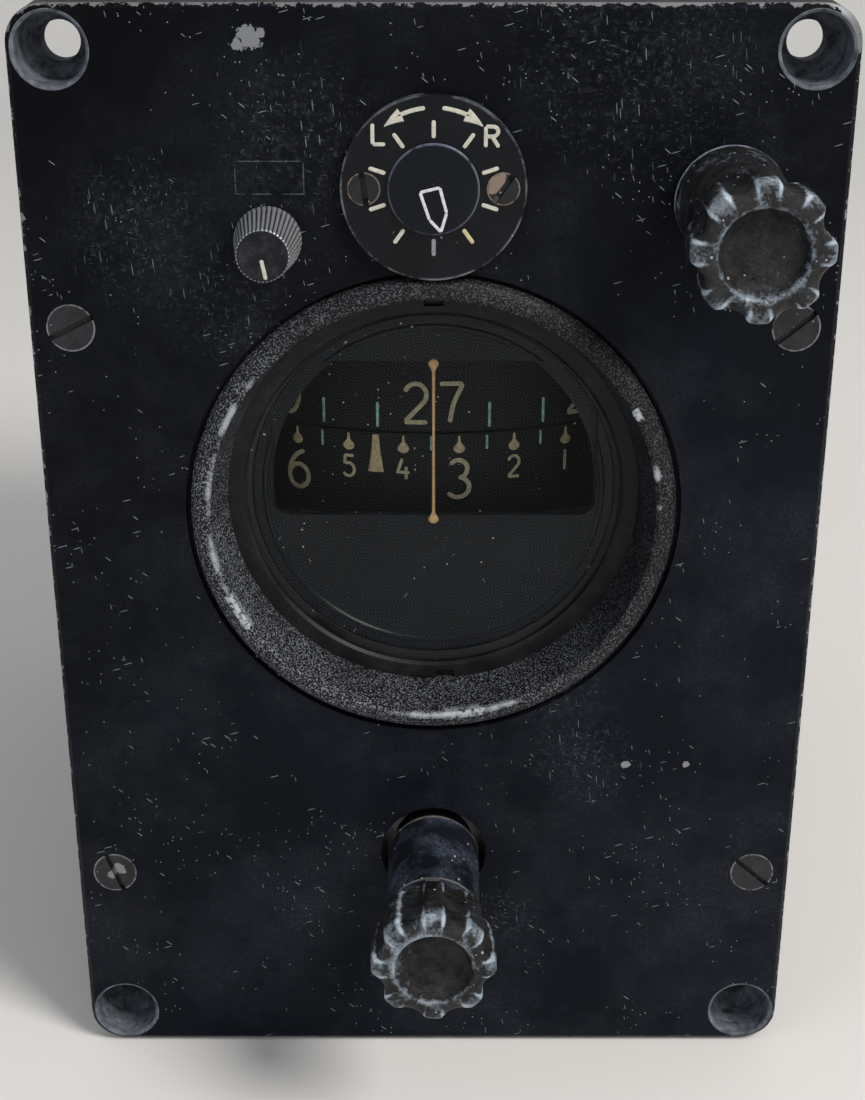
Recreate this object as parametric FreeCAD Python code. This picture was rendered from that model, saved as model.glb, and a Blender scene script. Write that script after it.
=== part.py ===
import FreeCAD, Part
import math
import os

# Autopilot gyro unit: a panel-mounted directional gyro with two card bands, a course knob,
# a caging knob, a small trim dial and its knurled knob.
# Millimetres. The origin is the centre of the four corner bolts on the panel's rear face,
# +Z is up, the face looks along -Y, +X is to the right seen from the front.

Vector = FreeCAD.Vector
Y_AXIS = Vector(0, 1, 0)
Z_AXIS = Vector(0, 0, 1)

# Front panel, a cast plate with a hollow back
panel_depth = 13.0
panel_side_margin = 3.0
panel_end_margin = 16.15
panel_corner_radius = 6.0
panel_edge_chamfer = 0.8
panel_skin = 5.0
border_width = 9.5
bolt_inset_x = 6.6
bolt_inset_z = 6.65
bolt_hole_radius = 3.1
bolt_sink_radius = 5.4
bolt_mouth = 0.4
bolt_sink_depth = 7.0
bolt_cone_depth = 2.4
end_pocket_depth = 7.0
end_pocket_margin = 2.0
end_pocket_rim = 5.15
end_pocket_side = 17.0
end_pocket_corner = 3.0

# Countersunk screws that hold the panel on the case
panel_screw_inset = 3.5
panel_screw_upper_rise = 31.55
panel_screw_lower_drop = 69.55
panel_screw_head_radius = 3.85
panel_screw_head_height = 1.9
panel_screw_radius = 2.05
panel_screw_grip = 9.0
panel_screw_tail = 1.5
panel_screw_slots = (110, 27, 40, 138)
screw_slot_width = 0.9
screw_slot_depth = 0.8
screw_clearance = 0.08
head_rim_share = 0.25

# Round window, from the funnel ring inwards
bezel_radius = 39.85
bezel_fit = 0.15
bezel_depth = 9.0
bezel_lip = 0.5
bezel_crest_inset = 2.95
bezel_crest_height = 1.5
bezel_edge_drop = 0.9
bezel_shoulder_steps = 5
bezel_groove_width = 0.7
bezel_groove_depth = 1.4
funnel_width = 5.45
funnel_depth = 7.6
boss_wall = 4.15
retainer_width = 3.0
retainer_thickness = 1.3
retainer_bevel = 0.5
retainer_fit = 0.05
retainer_notch = 3.2
retainer_notch_depth = 0.9
retainer_notch_turn = 3.5
glass_thickness = 1.6
glass_overhang = 0.55
glass_seat_width = 4.5
glass_fit = 0.1
gasket_thickness = 0.4
gasket_fit = 0.3
mask_fit = 0.1
mask_lip_inset = 1.45
mask_lip_width = 1.1
mask_lip_height = 0.3
mask_lip_slope = 0.3
mask_opening_gap = 0.4
mask_plate_thickness = 1.4
mask_flange_inset = 3.0
mask_flange_thickness = 1.5
mask_low_share = 0.175
mask_high_share = 0.824
mask_corner_radius = 3.0
mask_top_corner_radius = 11.0
mask_step_width = 2.9
mask_screw_radius = 1.2
mask_screw_head_radius = 2.2
mask_screw_head_height = 1.2
mask_screw_grip = 3.0
mask_screw_count = 4
mask_screw_turn = 45
lubber_width = 0.6
lubber_thickness = 0.3
lubber_end_radius = 0.9
lubber_low_drop = 0.65
lubber_high_drop = 0.55

# Case, its cover and gaskets
case_wall = 2.5
case_corner_radius = 7.0
case_side_gap = 3.0
case_rear_space = 36.0
joint_gasket = 1.0
joint_gasket_width = 4.5
gasket_hole_gap = 0.2
rib_width = 3.0
rib_height = 1.4
rib_count = 4
bearing_pad_radius = 22.0
bearing_pad_height = 1.5
case_boss_width = 8.5
case_boss_height = 10.0
case_boss_length = 17.0
cover_thickness = 4.0
cover_rib_height = 2.0
cover_rib_width = 3.0
cover_rib_margin = 12.0
cover_screw_inset = 6.5
cover_screw_radius = 2.0
cover_screw_head_radius = 3.5
cover_screw_head_height = 2.4
cover_screw_grip = 8.0
cover_boss_radius = 4.2
cover_boss_length = 14.0

# Cards: two upright bands on one vertical axis
card_radius = 55.0
card_wall = 1.0
card_front_gap = 4.0
card_gap_rise = 7.85
card_gap = 0.5
upper_card_cover = 2.5
lower_card_cover = 3.4
card_disc_thickness = 1.4
card_disc_rise = 3.5
lower_skirt_gap = 2.8
lower_skirt_drop = 8.0
card_hub_height = 1.6
card_hole_count = 6
card_hole_radius = 7.0
card_hole_circle = 30.0

# Fixed post at the top and bearing cup at the bottom of the vertical axis
post_radius = 7.0
post_flange_radius = 20.0
post_flange_thickness = 3.0
post_flange_bevel = 1.0
plug_radius = 13.9
plug_fit = 0.1
plug_reach = 1.0
post_end_gap = 1.6
post_screw_count = 3
post_screw_inset = 3.0
post_screw_radius = 1.5
post_screw_head_radius = 2.8
post_screw_head_height = 1.8
post_screw_grip = 3.6
upper_bearing_radius = 5.5
upper_bearing_width = 5.0
lower_bearing_radius = 6.5
lower_bearing_width = 5.0
bearing_shoulder = 1.0
bearing_groove_depth = 0.3
bearing_groove_share = 0.12
trunnion_radius = 2.5
trunnion_end_gap = 0.4
running_fit = 0.04
bearing_fit = 0.03

# Gimbals: the vertical ring turns in the bearings and carries the rotor housing
ring_section = 6.0
ring_width = 12.0
ring_flat = 1.4
lower_space = 10.6
trunnion_flange_radius = 9.0
trunnion_flange_thickness = 1.8
trunnion_seat_radius = 4.0
trunnion_seat_length = 4.0
pivot_radius = 2.0
pivot_bearing_radius = 4.0
pivot_bearing_width = 4.0
pivot_end_gap = 0.2
side_boss_radius = 7.5
side_boss_length = 3.0
side_boss_step = 0.5
side_boss_gap = 1.5
housing_gap = 10.0
housing_wall = 2.0
housing_half_length = 20.0
housing_end_wall = 2.5
housing_edge = 3.0
housing_boss_radius = 6.5
housing_boss_length = 3.0
housing_vent_radius = 5.0
housing_jet_radius = 2.0
housing_jet_x = 6.0
rotor_gap = 1.5
rotor_half_width = 12.0
rotor_web = 6.0
rotor_hub_radius = 6.5
rotor_rim = 6.0
bucket_count = 24
bucket_radius = 2.0
bucket_depth = 1.2
spindle_radius = 2.5
spindle_end_gap = 0.5
spindle_bearing_radius = 5.0
spindle_bearing_width = 4.0

# Heading pick-off and caging rim under the gimbal
sync_disc_radius = 46.0
sync_disc_thickness = 2.2
sync_rim_width = 6.0
sync_rim_rise = 1.6
sync_rim_bevel = 1.0
vane_radius = 20.0
vane_thickness = 1.0
vane_hub_radius = 6.0
vane_drop = 3.0
block_width = 14.0
block_length = 16.0
block_overlap = 6.0
block_slot = 0.6
block_slot_reach = 2.5
block_rise = 1.5
pipe_radius = 1.6
pipe_spread = 4.0
pipe_bend = 9.0
pipe_insert = 3.5

# Course drive: a worm on the knob shaft turns the upper card's wheel
course_knob_drop = 10.5
course_knob_inset = 15.2
worm_pitch_radius = 5.7
wheel_teeth = 72
worm_thread_share = 0.39
wheel_tooth_share = 0.376
worm_addendum = 1.0
worm_root_gap = 0.4
worm_length = 14.0
flank_angle = 20.0
wheel_width = 5.0
wheel_web = 2.5
wheel_rim = 5.0
wheel_opening_margin = 3.5
hub_radius = 11.0
hub_shoulder = 4.0
hub_shoulder_height = 3.0
hub_top_gap = 0.5
collar_gap = 0.3
collar_height = 3.0
collar_radius = 10.5
collar_bevel = 0.6
shaft_radius = 3.0
shaft_end = 1.5
bracket_wall = 5.0
bracket_width = 16.0
bracket_foot = 3.0
bracket_gap = 4.0
bracket_screw_inset = 3.5
bracket_eye_radius = 5.6
small_screw_radius = 1.5
small_screw_head_radius = 2.7
small_screw_head_height = 1.6
small_screw_grip = 5.0
bush_radius = 5.0
bush_flange_radius = 7.0
bush_flange_thickness = 1.5
bush_pad_margin = 1.0

# Lobed knobs: course knob and caging knob
knob_head_radius = 10.25
knob_head_length = 12.5
knob_sleeve_radius = 7.75
knob_skirt_radius = 8.7
knob_lobe_count = 8
knob_lobe_cut_radius = 3.4
knob_lobe_cut_depth = 1.3
knob_dish_radius = 6.2
knob_dish_depth = 2.2
knob_dish_slope = 1.2
knob_edge = 1.0
knob_taper_start = 2.0
knob_crown = 1.5
course_knob_height = 32.5
course_knob_gap = 0.4
caging_knob_height = 34.4
caging_gap = 10.45
caging_floor_gap = 11.3
caging_hole_radius = 9.3
caging_sleeve_wall = 1.15
caging_sleeve_inset = 4.0
caging_sleeve_gap = 0.15
caging_shoulder_radius = 8.0
caging_shoulder_step = 1.0
caging_shoulder_round = 0.6
caging_shoulder_gap = 0.2
caging_collar_length = 6.0
caging_notch_width = 2.6
caging_notch_length = 2.2
caging_bush_length = 26.0
caging_bush_reach = 5.0
caging_plate_thickness = 3.0
caging_plate_half_width = 21.0
caging_plate_half_height = 11.0
caging_plate_corner = 4.0
caging_post_x = 16.0
caging_post_radius = 4.0
caging_post_height = 5.6
friction_wheel_width = 5.0
friction_wheel_gap = 0.3
friction_taper = 1.0
friction_gap = 0.2

# Trim dial, its pointer and the knurled knob that turns it through an idler
dial_drop = 8.4
dial_overlap = 0.2
dial_radius = 14.2
dial_thickness = 1.5
dial_screw_x = 10.6
dial_screw_head_radius = 2.55
dial_screw_head_height = 1.0
dial_screw_radius = 1.2
dial_screw_grip = 2.5
dial_screw_slots = (98, 55)
pointer_radius = 7.0
pointer_thickness = 0.7
pointer_edge = 0.3
pointer_gap = 0.1
pointer_spindle_radius = 1.5
trim_knob_x = -25.5
trim_knob_drop = 8.1
trim_knob_height = 10.4
trim_knob_base_radius = 5.25
trim_knob_top_radius = 4.0
trim_knob_gap = 0.3
trim_knob_skirt = 1.2
trim_knob_edge = 0.4
trim_knob_crown = 2.0
trim_knurl_count = 36
trim_knurl_depth = 0.3
trim_knurl_width = 0.5
trim_spindle_radius = 2.0
trim_gear_teeth = 20
idler_teeth = 18
tooth_share = 0.40
tooth_addendum = 0.9
tooth_root = 1.2
trim_gear_width = 2.6
trim_gear_gap = 0.5
trim_spindle_tail = 1.0
idler_post_radius = 1.5
idler_post_tail = 0.6

# Air fittings on the rear cover and the relay behind it
relay_half_width = 25.0
relay_depth = 18.0
relay_half_height = 17.0
relay_chamfer = 3.0
relay_dome_radius = 12.0
relay_dome_height = 3.0
relay_port_depth = 6.0
port_x = 15.0
port_outer_radius = 5.5
port_bore_radius = 3.0
port_length = 12.0
port_hex_height = 4.0
port_hex_across = 15.0
vacuum_rise = 37.0
vacuum_outer_radius = 8.0
vacuum_bore_radius = 6.2
vacuum_length = 14.0
vacuum_hex_across = 22.0
filter_rise = 83.0
relay_floor_gap = 13.0
filter_radius = 19.0
filter_height = 9.0
filter_wall = 1.6
filter_edge = 2.0
filter_hole_radius = 1.6
filter_hole_count = 12
filter_neck_radius = 8.0
fitting_clearance = 0.05

# The window's rings, each from the one outside it
boss_radius = bezel_radius + boss_wall
funnel_end_radius = bezel_radius - funnel_width
retainer_inner_radius = funnel_end_radius - retainer_width
glass_radius = funnel_end_radius + glass_overhang
boss_bore_radius = glass_radius - glass_seat_width
mask_lip_radius = boss_bore_radius - mask_lip_inset
mask_opening_half_x = mask_lip_radius - mask_lip_width - mask_opening_gap
mask_flange_radius = boss_radius - mask_flange_inset
mask_opening_low = -mask_low_share * mask_opening_half_x
mask_opening_high = mask_high_share * mask_opening_half_x

# The case's inner height holds the dial, the window and the caging knob, one above the other
roof_to_window = dial_drop + dial_radius - dial_overlap + bezel_radius
window_to_caging = boss_radius + caging_gap + caging_plate_half_height
caging_to_floor = caging_plate_half_height + caging_floor_gap
roof_z = (roof_to_window + window_to_caging + caging_to_floor) / 2
window_z = roof_z - roof_to_window
caging_knob_z = window_z - window_to_caging
dial_z = roof_z - dial_drop
trim_knob_z = dial_z - trim_knob_drop
course_knob_z = roof_z - course_knob_drop
case_half_height = roof_z + case_wall
panel_height = 2 * (case_half_height + panel_end_margin)
bolt_spacing_z = panel_height - 2 * bolt_inset_z
pad_top_z = case_half_height + bearing_pad_height

# The width and depth follow from the cards
case_half_width = card_radius + case_side_gap + case_wall
panel_width = 2 * (case_half_width + panel_side_margin)
bolt_spacing_x = panel_width - 2 * bolt_inset_x
panel_screw_x = case_half_width - panel_screw_inset
panel_screw_upper_z = window_z + panel_screw_upper_rise
panel_screw_lower_z = window_z - panel_screw_lower_drop
axis_y = card_radius + card_front_gap
case_front_y = joint_gasket
case_back_y = axis_y + card_radius + case_rear_space
case_depth = case_back_y - case_front_y
cover_front_y = case_back_y + joint_gasket
cover_back_y = cover_front_y + cover_thickness
cover_screw_x = case_half_width - cover_screw_inset
cover_screw_z = case_half_height - cover_screw_inset

# Depths through the panel
face_y = -panel_depth
skin_y = face_y + panel_skin
bezel_seat_y = face_y + bezel_depth
glass_front_y = bezel_seat_y
glass_back_y = glass_front_y + glass_thickness
mask_front_y = glass_back_y + gasket_thickness

# Heights along the vertical axis, from the gap between the cards
card_gap_z = window_z + card_gap_rise
lower_card_top_z = card_gap_z - card_gap / 2
lower_card_low_z = window_z + mask_opening_low - lower_card_cover
upper_card_low_z = card_gap_z + card_gap / 2
upper_disc_z = window_z + mask_opening_high + upper_card_cover
lower_skirt_radius = card_radius - card_wall - lower_skirt_gap
lower_disc_z = card_gap_z + card_disc_rise
upper_seat_z = lower_disc_z + trunnion_seat_length
post_low_z = upper_seat_z + post_end_gap
ring_top_z = lower_disc_z - trunnion_flange_thickness
sync_disc_top_z = lower_space - roof_z
ring_bottom_z = sync_disc_top_z + trunnion_flange_thickness
gimbal_z = (ring_top_z + ring_bottom_z) / 2
ring_radius = (ring_top_z - ring_bottom_z) / 2 + ring_flat
ring_inner_radius = ring_radius - ring_section
housing_radius = ring_inner_radius - housing_gap
rotor_radius = housing_radius - housing_wall - rotor_gap
vane_z = sync_disc_top_z - sync_disc_thickness - vane_drop
block_inner_radius = vane_radius - block_overlap
block_outer_radius = block_inner_radius + block_length
block_height = vane_z + vane_thickness + block_rise + roof_z
lower_bearing_z = bearing_shoulder - pad_top_z

# Gears
course_knob_x = case_half_width - course_knob_inset
wheel_pitch_radius = course_knob_x - worm_pitch_radius
worm_module = 2 * wheel_pitch_radius / wheel_teeth
worm_pitch = math.pi * worm_module
worm_thread_width = worm_thread_share * worm_pitch
wheel_tooth_width = wheel_tooth_share * worm_pitch
bracket_y = axis_y + worm_length / 2 + bracket_gap + bracket_wall / 2
trim_centre_distance = math.hypot(trim_knob_x, trim_knob_drop)
trim_module = trim_centre_distance / (trim_gear_teeth + idler_teeth)
trim_line_angle = math.atan2(trim_knob_drop, -trim_knob_x)
idler_x = trim_knob_x / 2
idler_z = (trim_knob_z + dial_z) / 2
trim_gear_y = skin_y + trim_gear_gap

# The caging drive, from the plate behind the panel
caging_plate_y = skin_y + caging_post_height
caging_flange_y = caging_plate_y + caging_plate_thickness
caging_bush_end_y = caging_flange_y + caging_bush_reach
caging_bush_start_y = caging_bush_end_y - caging_bush_length
caging_wheel_y = caging_bush_end_y + friction_wheel_gap
friction_wheel_radius = caging_knob_z - sync_disc_top_z - sync_rim_rise - friction_gap
caging_head_back_y = face_y - caging_knob_height + knob_head_length

# Places on the rear cover, from the floor up
relay_low_z = relay_floor_gap - roof_z
relay_high_z = relay_low_z + 2 * relay_half_height
port_z = relay_low_z + relay_half_height
vacuum_z = port_z + vacuum_rise
filter_z = port_z + filter_rise


def box(x0, x1, y0, y1, z0, z1):
    return Part.makeBox(x1 - x0, y1 - y0, z1 - z0, Vector(x0, y0, z0))


def y_cylinder(radius, y0, y1, x, z):
    return Part.makeCylinder(radius, y1 - y0, Vector(x, y0, z), Y_AXIS)


def z_cylinder(radius, z0, z1, x, y):
    return Part.makeCylinder(radius, z1 - z0, Vector(x, y, z0), Z_AXIS)


def x_cylinder(radius, x0, x1, y, z):
    return Part.makeCylinder(radius, x1 - x0, Vector(x0, y, z), Vector(1, 0, 0))


def y_revolve(profile, x, z):
    # The profile is a list of (radius, y) corners, turned about a line along Y
    points = [Vector(x + radius, y, z) for radius, y in profile]
    face = Part.Face(Part.makePolygon(points + [points[0]]))
    return face.revolve(Vector(x, 0, z), Y_AXIS, 360)


def z_revolve(profile, x, y):
    # The profile is a list of (radius, z) corners, turned about a line along Z
    points = [Vector(x + radius, y, z) for radius, z in profile]
    face = Part.Face(Part.makePolygon(points + [points[0]]))
    return face.revolve(Vector(x, y, 0), Z_AXIS, 360)


def rounded_block(half_x, y0, y1, z0, z1, radius):
    # A block whose four edges along Y are rounded
    block = box(-half_x, half_x, y0, y1, z0, z1)
    edges = []
    for edge in block.Edges:
        reach = edge.BoundBox
        if max(reach.XLength, reach.ZLength) < 1e-6:
            edges.append(edge)
    return block.makeFillet(radius, edges)


def cut_all(solid, tools):
    for tool in tools:
        solid = solid.cut(tool)
    return solid


def fuse_all(solid, others):
    for other in others:
        solid = solid.fuse(other)
    return solid.removeSplitter()


def hexagon(across, y0, y1, x, z):
    corner = across / math.sqrt(3)
    points = []
    for side in range(7):
        angle = math.radians(60 * side + 30)
        points.append(Vector(x + corner * math.cos(angle), y0, z + corner * math.sin(angle)))
    return Part.Face(Part.makePolygon(points)).extrude(Vector(0, y1 - y0, 0))


def toothed_face(teeth, pitch_radius, tip, root, width, lean, phase):
    # A flat toothed outline about the origin in the XY plane. The width is that of a tooth
    # on the pitch circle, and its flanks lean in towards the tip.
    points = []
    slope = math.tan(math.radians(lean))
    tip_half = width / 2 - tip * slope
    root_half = width / 2 + root * slope
    for tooth in range(teeth):
        centre = phase + 2 * math.pi * tooth / teeth
        corners = (
            (pitch_radius - root, -root_half),
            (pitch_radius + tip, -tip_half),
            (pitch_radius + tip, tip_half),
            (pitch_radius - root, root_half),
        )
        for radius, half in corners:
            angle = centre + half / pitch_radius
            points.append(Vector(radius * math.cos(angle), radius * math.sin(angle), 0))
    return Part.Face(Part.makePolygon(points + [points[0]]))


def stand_along_y(shape, x, y, z):
    # Turns a shape made along Z so that it runs along Y, then moves it to its place
    shape.rotate(Vector(0, 0, 0), Vector(1, 0, 0), -90)
    shape.translate(Vector(x, y, z))
    return shape


def slotted_countersunk(head_radius, head_height, shank_radius, grip, top_y, x, z, slot_angle):
    # Flat head with its top at top_y, cone under it, shank running towards +Y
    profile = [
        (0, top_y),
        (head_radius, top_y),
        (head_radius, top_y + head_rim_share * head_height),
        (shank_radius, top_y + head_height),
        (shank_radius, top_y + head_height + grip),
        (0, top_y + head_height + grip),
    ]
    screw = y_revolve(profile, x, z)
    slot = box(-head_radius, head_radius, top_y - 1, top_y + screw_slot_depth,
               -screw_slot_width / 2, screw_slot_width / 2)
    slot.rotate(Vector(0, 0, 0), Y_AXIS, -slot_angle)
    slot.translate(Vector(x, 0, z))
    return screw.cut(slot)


def cheese_screw(head_radius, head_height, shank_radius, grip):
    # Slotted cylinder head: the seat of the head is at the origin and the shank runs along +Z
    head = z_cylinder(head_radius, -head_height, 0, 0, 0)
    shank = z_cylinder(shank_radius, 0, grip, 0, 0)
    slot = box(-head_radius, head_radius, -screw_slot_width / 2, screw_slot_width / 2,
               -head_height - 1, -head_height + screw_slot_depth)
    return head.fuse(shank).removeSplitter().cut(slot)


def case_screw_places():
    places = []
    for side in (-1, 1):
        for height in (panel_screw_upper_z, panel_screw_lower_z):
            places.append((side * panel_screw_x, height))
    return places


def cover_screw_places():
    places = []
    for side in (-1, 1):
        for height in (-cover_screw_z, 0, cover_screw_z):
            places.append((side * cover_screw_x, height))
    return places


def front_panel():
    half_x = panel_width / 2
    half_z = panel_height / 2
    body = rounded_block(half_x, face_y, 0, -half_z, half_z, panel_corner_radius)
    rim = []
    for face in body.Faces:
        if face.BoundBox.YMax < face_y + 1e-6:
            rim = face.OuterWire.Edges
    body = body.makeChamfer(panel_edge_chamfer, rim)

    pocket_x = half_x - border_width
    pocket_z = roof_z - bezel_fit
    pocket = rounded_block(pocket_x, skin_y, 1, -pocket_z, pocket_z, panel_corner_radius)
    pocket = pocket.cut(y_cylinder(boss_radius, skin_y - 1, 2, 0, window_z))
    pad_radius = bush_flange_radius + bush_pad_margin
    pocket = pocket.cut(y_cylinder(pad_radius, skin_y - 1, 2, course_knob_x, course_knob_z))
    for side in (-1, 1):
        post = y_cylinder(caging_post_radius, skin_y - 1, caging_plate_y, side * caging_post_x,
                          caging_knob_z)
        pocket = pocket.cut(post)
    body = body.cut(pocket)

    end_x = half_x - end_pocket_side
    end_z = case_half_height + end_pocket_margin
    end_top = half_z - end_pocket_rim
    upper = rounded_block(end_x, -end_pocket_depth, 1, end_z, end_top, end_pocket_corner)
    lower = rounded_block(end_x, -end_pocket_depth, 1, -end_top, -end_z, end_pocket_corner)
    body = cut_all(body, [upper, lower])

    for side in (-1, 1):
        for end in (-1, 1):
            hole = y_revolve([
                (0, face_y - 1),
                (bolt_sink_radius + bolt_mouth, face_y - 1),
                (bolt_sink_radius + bolt_mouth, face_y),
                (bolt_sink_radius, face_y + bolt_mouth),
                (bolt_sink_radius, face_y + bolt_sink_depth),
                (bolt_hole_radius, face_y + bolt_sink_depth + bolt_cone_depth),
                (bolt_hole_radius, 1),
                (0, 1),
            ], side * bolt_spacing_x / 2, end * bolt_spacing_z / 2)
            body = body.cut(hole)

    window = y_revolve([
        (0, face_y - 1),
        (bezel_radius + bezel_groove_width, face_y - 1),
        (bezel_radius + bezel_groove_width, face_y + bezel_groove_depth),
        (bezel_radius + bezel_fit, face_y + bezel_groove_depth),
        (bezel_radius + bezel_fit, bezel_seat_y),
        (glass_radius + glass_fit, bezel_seat_y),
        (glass_radius + glass_fit, mask_front_y),
        (boss_bore_radius, mask_front_y),
        (boss_bore_radius, 1),
        (0, 1),
    ], 0, window_z)
    body = body.cut(window)

    for x, z in case_screw_places():
        hole = y_revolve([
            (0, face_y - 1),
            (panel_screw_head_radius + screw_clearance, face_y - 1),
            (panel_screw_head_radius + screw_clearance, face_y + head_rim_share * panel_screw_head_height),
            (panel_screw_radius + screw_clearance, face_y + panel_screw_head_height),
            (panel_screw_radius + screw_clearance, 1),
            (0, 1),
        ], x, z)
        body = body.cut(hole)

    for x, z in mask_screw_places():
        body = body.cut(y_cylinder(mask_screw_radius + screw_clearance, -mask_screw_grip, 1, x, z))
    for side in (-1, 1):
        screw_hole = y_cylinder(small_screw_radius + screw_clearance, caging_plate_y - small_screw_grip,
                                1, side * caging_post_x, caging_knob_z)
        dial_hole = y_cylinder(dial_screw_radius + screw_clearance, face_y - 1,
                               face_y + dial_screw_grip + gasket_fit, side * dial_screw_x, dial_z)
        body = cut_all(body, [screw_hole, dial_hole])
    body = cut_all(body, [
        y_cylinder(caging_hole_radius, face_y - 1, skin_y + 1, 0, caging_knob_z),
        y_cylinder(bush_radius + fitting_clearance, face_y - 1, 1, course_knob_x, course_knob_z),
        y_cylinder(trim_spindle_radius + running_fit, face_y - 1, skin_y + 1, trim_knob_x, trim_knob_z),
        y_cylinder(pointer_spindle_radius + running_fit, face_y - 1, skin_y + 1, 0, dial_z),
    ])
    idler_post = y_cylinder(idler_post_radius, skin_y - 1, trim_gear_y + trim_gear_width + idler_post_tail,
                            idler_x, idler_z)
    return body.fuse(idler_post).removeSplitter()


def panel_screws():
    order = [(-1, panel_screw_lower_z), (-1, panel_screw_upper_z), (1, panel_screw_upper_z),
             (1, panel_screw_lower_z)]
    screws = []
    grip = panel_depth - panel_screw_head_height + panel_screw_grip
    for (side, height), angle in zip(order, panel_screw_slots):
        screws.append(slotted_countersunk(panel_screw_head_radius, panel_screw_head_height,
                                          panel_screw_radius, grip, face_y,
                                          side * panel_screw_x, height, angle))
    return Part.makeCompound(screws)


def bezel_ring():
    # A funnel inside, and outside a round shoulder that rises from the groove to the crest
    crest_radius = bezel_radius - bezel_crest_inset
    crest_y = face_y - bezel_crest_height
    rise = bezel_edge_drop + bezel_crest_height
    profile = [
        (crest_radius - bezel_lip, crest_y + bezel_lip / 2),
        (funnel_end_radius, face_y + funnel_depth),
        (funnel_end_radius, bezel_seat_y),
        (bezel_radius, bezel_seat_y),
    ]
    for step in range(bezel_shoulder_steps + 1):
        angle = math.pi / 2 * step / bezel_shoulder_steps
        profile.append((crest_radius + bezel_crest_inset * math.cos(angle),
                        face_y + bezel_edge_drop - rise * math.sin(angle)))
    return y_revolve(profile, 0, window_z)


def retaining_ring():
    outer = funnel_end_radius - retainer_fit
    ring = y_revolve([
        (retainer_inner_radius, glass_front_y - retainer_thickness + retainer_bevel),
        (retainer_inner_radius + retainer_bevel, glass_front_y - retainer_thickness),
        (outer, glass_front_y - retainer_thickness),
        (outer, glass_front_y),
        (retainer_inner_radius, glass_front_y),
    ], 0, window_z)
    notch = box(-retainer_notch / 2, retainer_notch / 2, glass_front_y - retainer_thickness - 1,
                glass_front_y - retainer_thickness + retainer_notch_depth, window_z - outer - 1,
                window_z - (retainer_inner_radius + outer) / 2)
    upper_notch = notch.mirror(Vector(0, 0, window_z), Z_AXIS)
    notch.rotate(Vector(0, 0, window_z), Y_AXIS, -retainer_notch_turn)
    return cut_all(ring, [notch, upper_notch])


def window_glass():
    glass = y_cylinder(glass_radius, glass_front_y, glass_back_y, 0, window_z)
    return glass


def glass_gasket():
    outer = y_cylinder(glass_radius, glass_back_y, mask_front_y, 0, window_z)
    inner = y_cylinder(boss_bore_radius + gasket_fit, glass_back_y - 1, mask_front_y + 1, 0, window_z)
    return outer.cut(inner)


def mask_screw_places():
    circle = (boss_bore_radius + boss_radius) / 2
    places = []
    for index in range(mask_screw_count):
        angle = math.radians(mask_screw_turn + 360 * index / mask_screw_count)
        places.append((circle * math.cos(angle), window_z + circle * math.sin(angle)))
    return places


def mask_plate():
    # A stepped disc with a wide opening whose upper corners are much rounder than the lower
    disc_radius = boss_bore_radius - mask_fit
    back_y = mask_front_y + mask_plate_thickness
    plate = y_revolve([
        (0, mask_front_y),
        (mask_lip_radius - mask_lip_width, mask_front_y),
        (mask_lip_radius - mask_lip_width + mask_lip_slope, mask_front_y - mask_lip_height),
        (mask_lip_radius - mask_lip_slope, mask_front_y - mask_lip_height),
        (mask_lip_radius, mask_front_y),
        (disc_radius, mask_front_y),
        (disc_radius, 0),
        (mask_flange_radius, 0),
        (mask_flange_radius, mask_flange_thickness),
        (disc_radius - mask_step_width, mask_flange_thickness),
        (disc_radius - mask_step_width, back_y),
        (0, back_y),
    ], 0, window_z)
    low = window_z + mask_opening_low
    high = window_z + mask_opening_high
    lower_shape = rounded_block(mask_opening_half_x, mask_front_y - 1, back_y + 1, low, high,
                                mask_corner_radius)
    upper_shape = rounded_block(mask_opening_half_x, mask_front_y - 1, back_y + 1,
                                low - mask_top_corner_radius, high, mask_top_corner_radius)
    plate = plate.cut(lower_shape.common(upper_shape))
    for x, z in mask_screw_places():
        plate = plate.cut(y_cylinder(mask_screw_radius + screw_clearance, -1,
                                     mask_flange_thickness + 1, x, z))
    return plate


def mask_screws():
    screws = []
    for x, z in mask_screw_places():
        screw = cheese_screw(mask_screw_head_radius, mask_screw_head_height, mask_screw_radius,
                             mask_screw_grip + mask_flange_thickness - gasket_fit)
        screw.rotate(Vector(0, 0, 0), Vector(1, 0, 0), 90)
        screw.translate(Vector(x, mask_flange_thickness, z))
        screws.append(screw)
    return Part.makeCompound(screws)


def lubber_line():
    # A flat wire across the opening, with a round foot at each end on the plate's front
    front_y = mask_front_y - lubber_thickness
    low = window_z + mask_opening_low - lubber_low_drop
    high = window_z + mask_opening_high - lubber_high_drop
    wire = box(-lubber_width / 2, lubber_width / 2, front_y, mask_front_y, low, high)
    lower_foot = y_cylinder(lubber_end_radius, front_y, mask_front_y, 0, low)
    upper_foot = y_cylinder(lubber_end_radius, front_y, mask_front_y, 0, high)
    return fuse_all(wire, [lower_foot, upper_foot])


def dial_plate():
    plate = y_cylinder(dial_radius, face_y - dial_thickness, face_y, 0, dial_z)
    plate = plate.cut(y_cylinder(pointer_spindle_radius + pointer_edge, face_y - dial_thickness - 1,
                                 face_y + 1, 0, dial_z))
    for side in (-1, 1):
        hole = y_revolve([
            (0, face_y - dial_thickness - 1),
            (dial_screw_head_radius + screw_clearance, face_y - dial_thickness - 1),
            (dial_screw_head_radius + screw_clearance,
             face_y - dial_thickness + head_rim_share * dial_screw_head_height),
            (dial_screw_radius + screw_clearance, face_y - dial_thickness + dial_screw_head_height),
            (dial_screw_radius + screw_clearance, face_y + 1),
            (0, face_y + 1),
        ], side * dial_screw_x, dial_z)
        plate = plate.cut(hole)
    return plate


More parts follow.
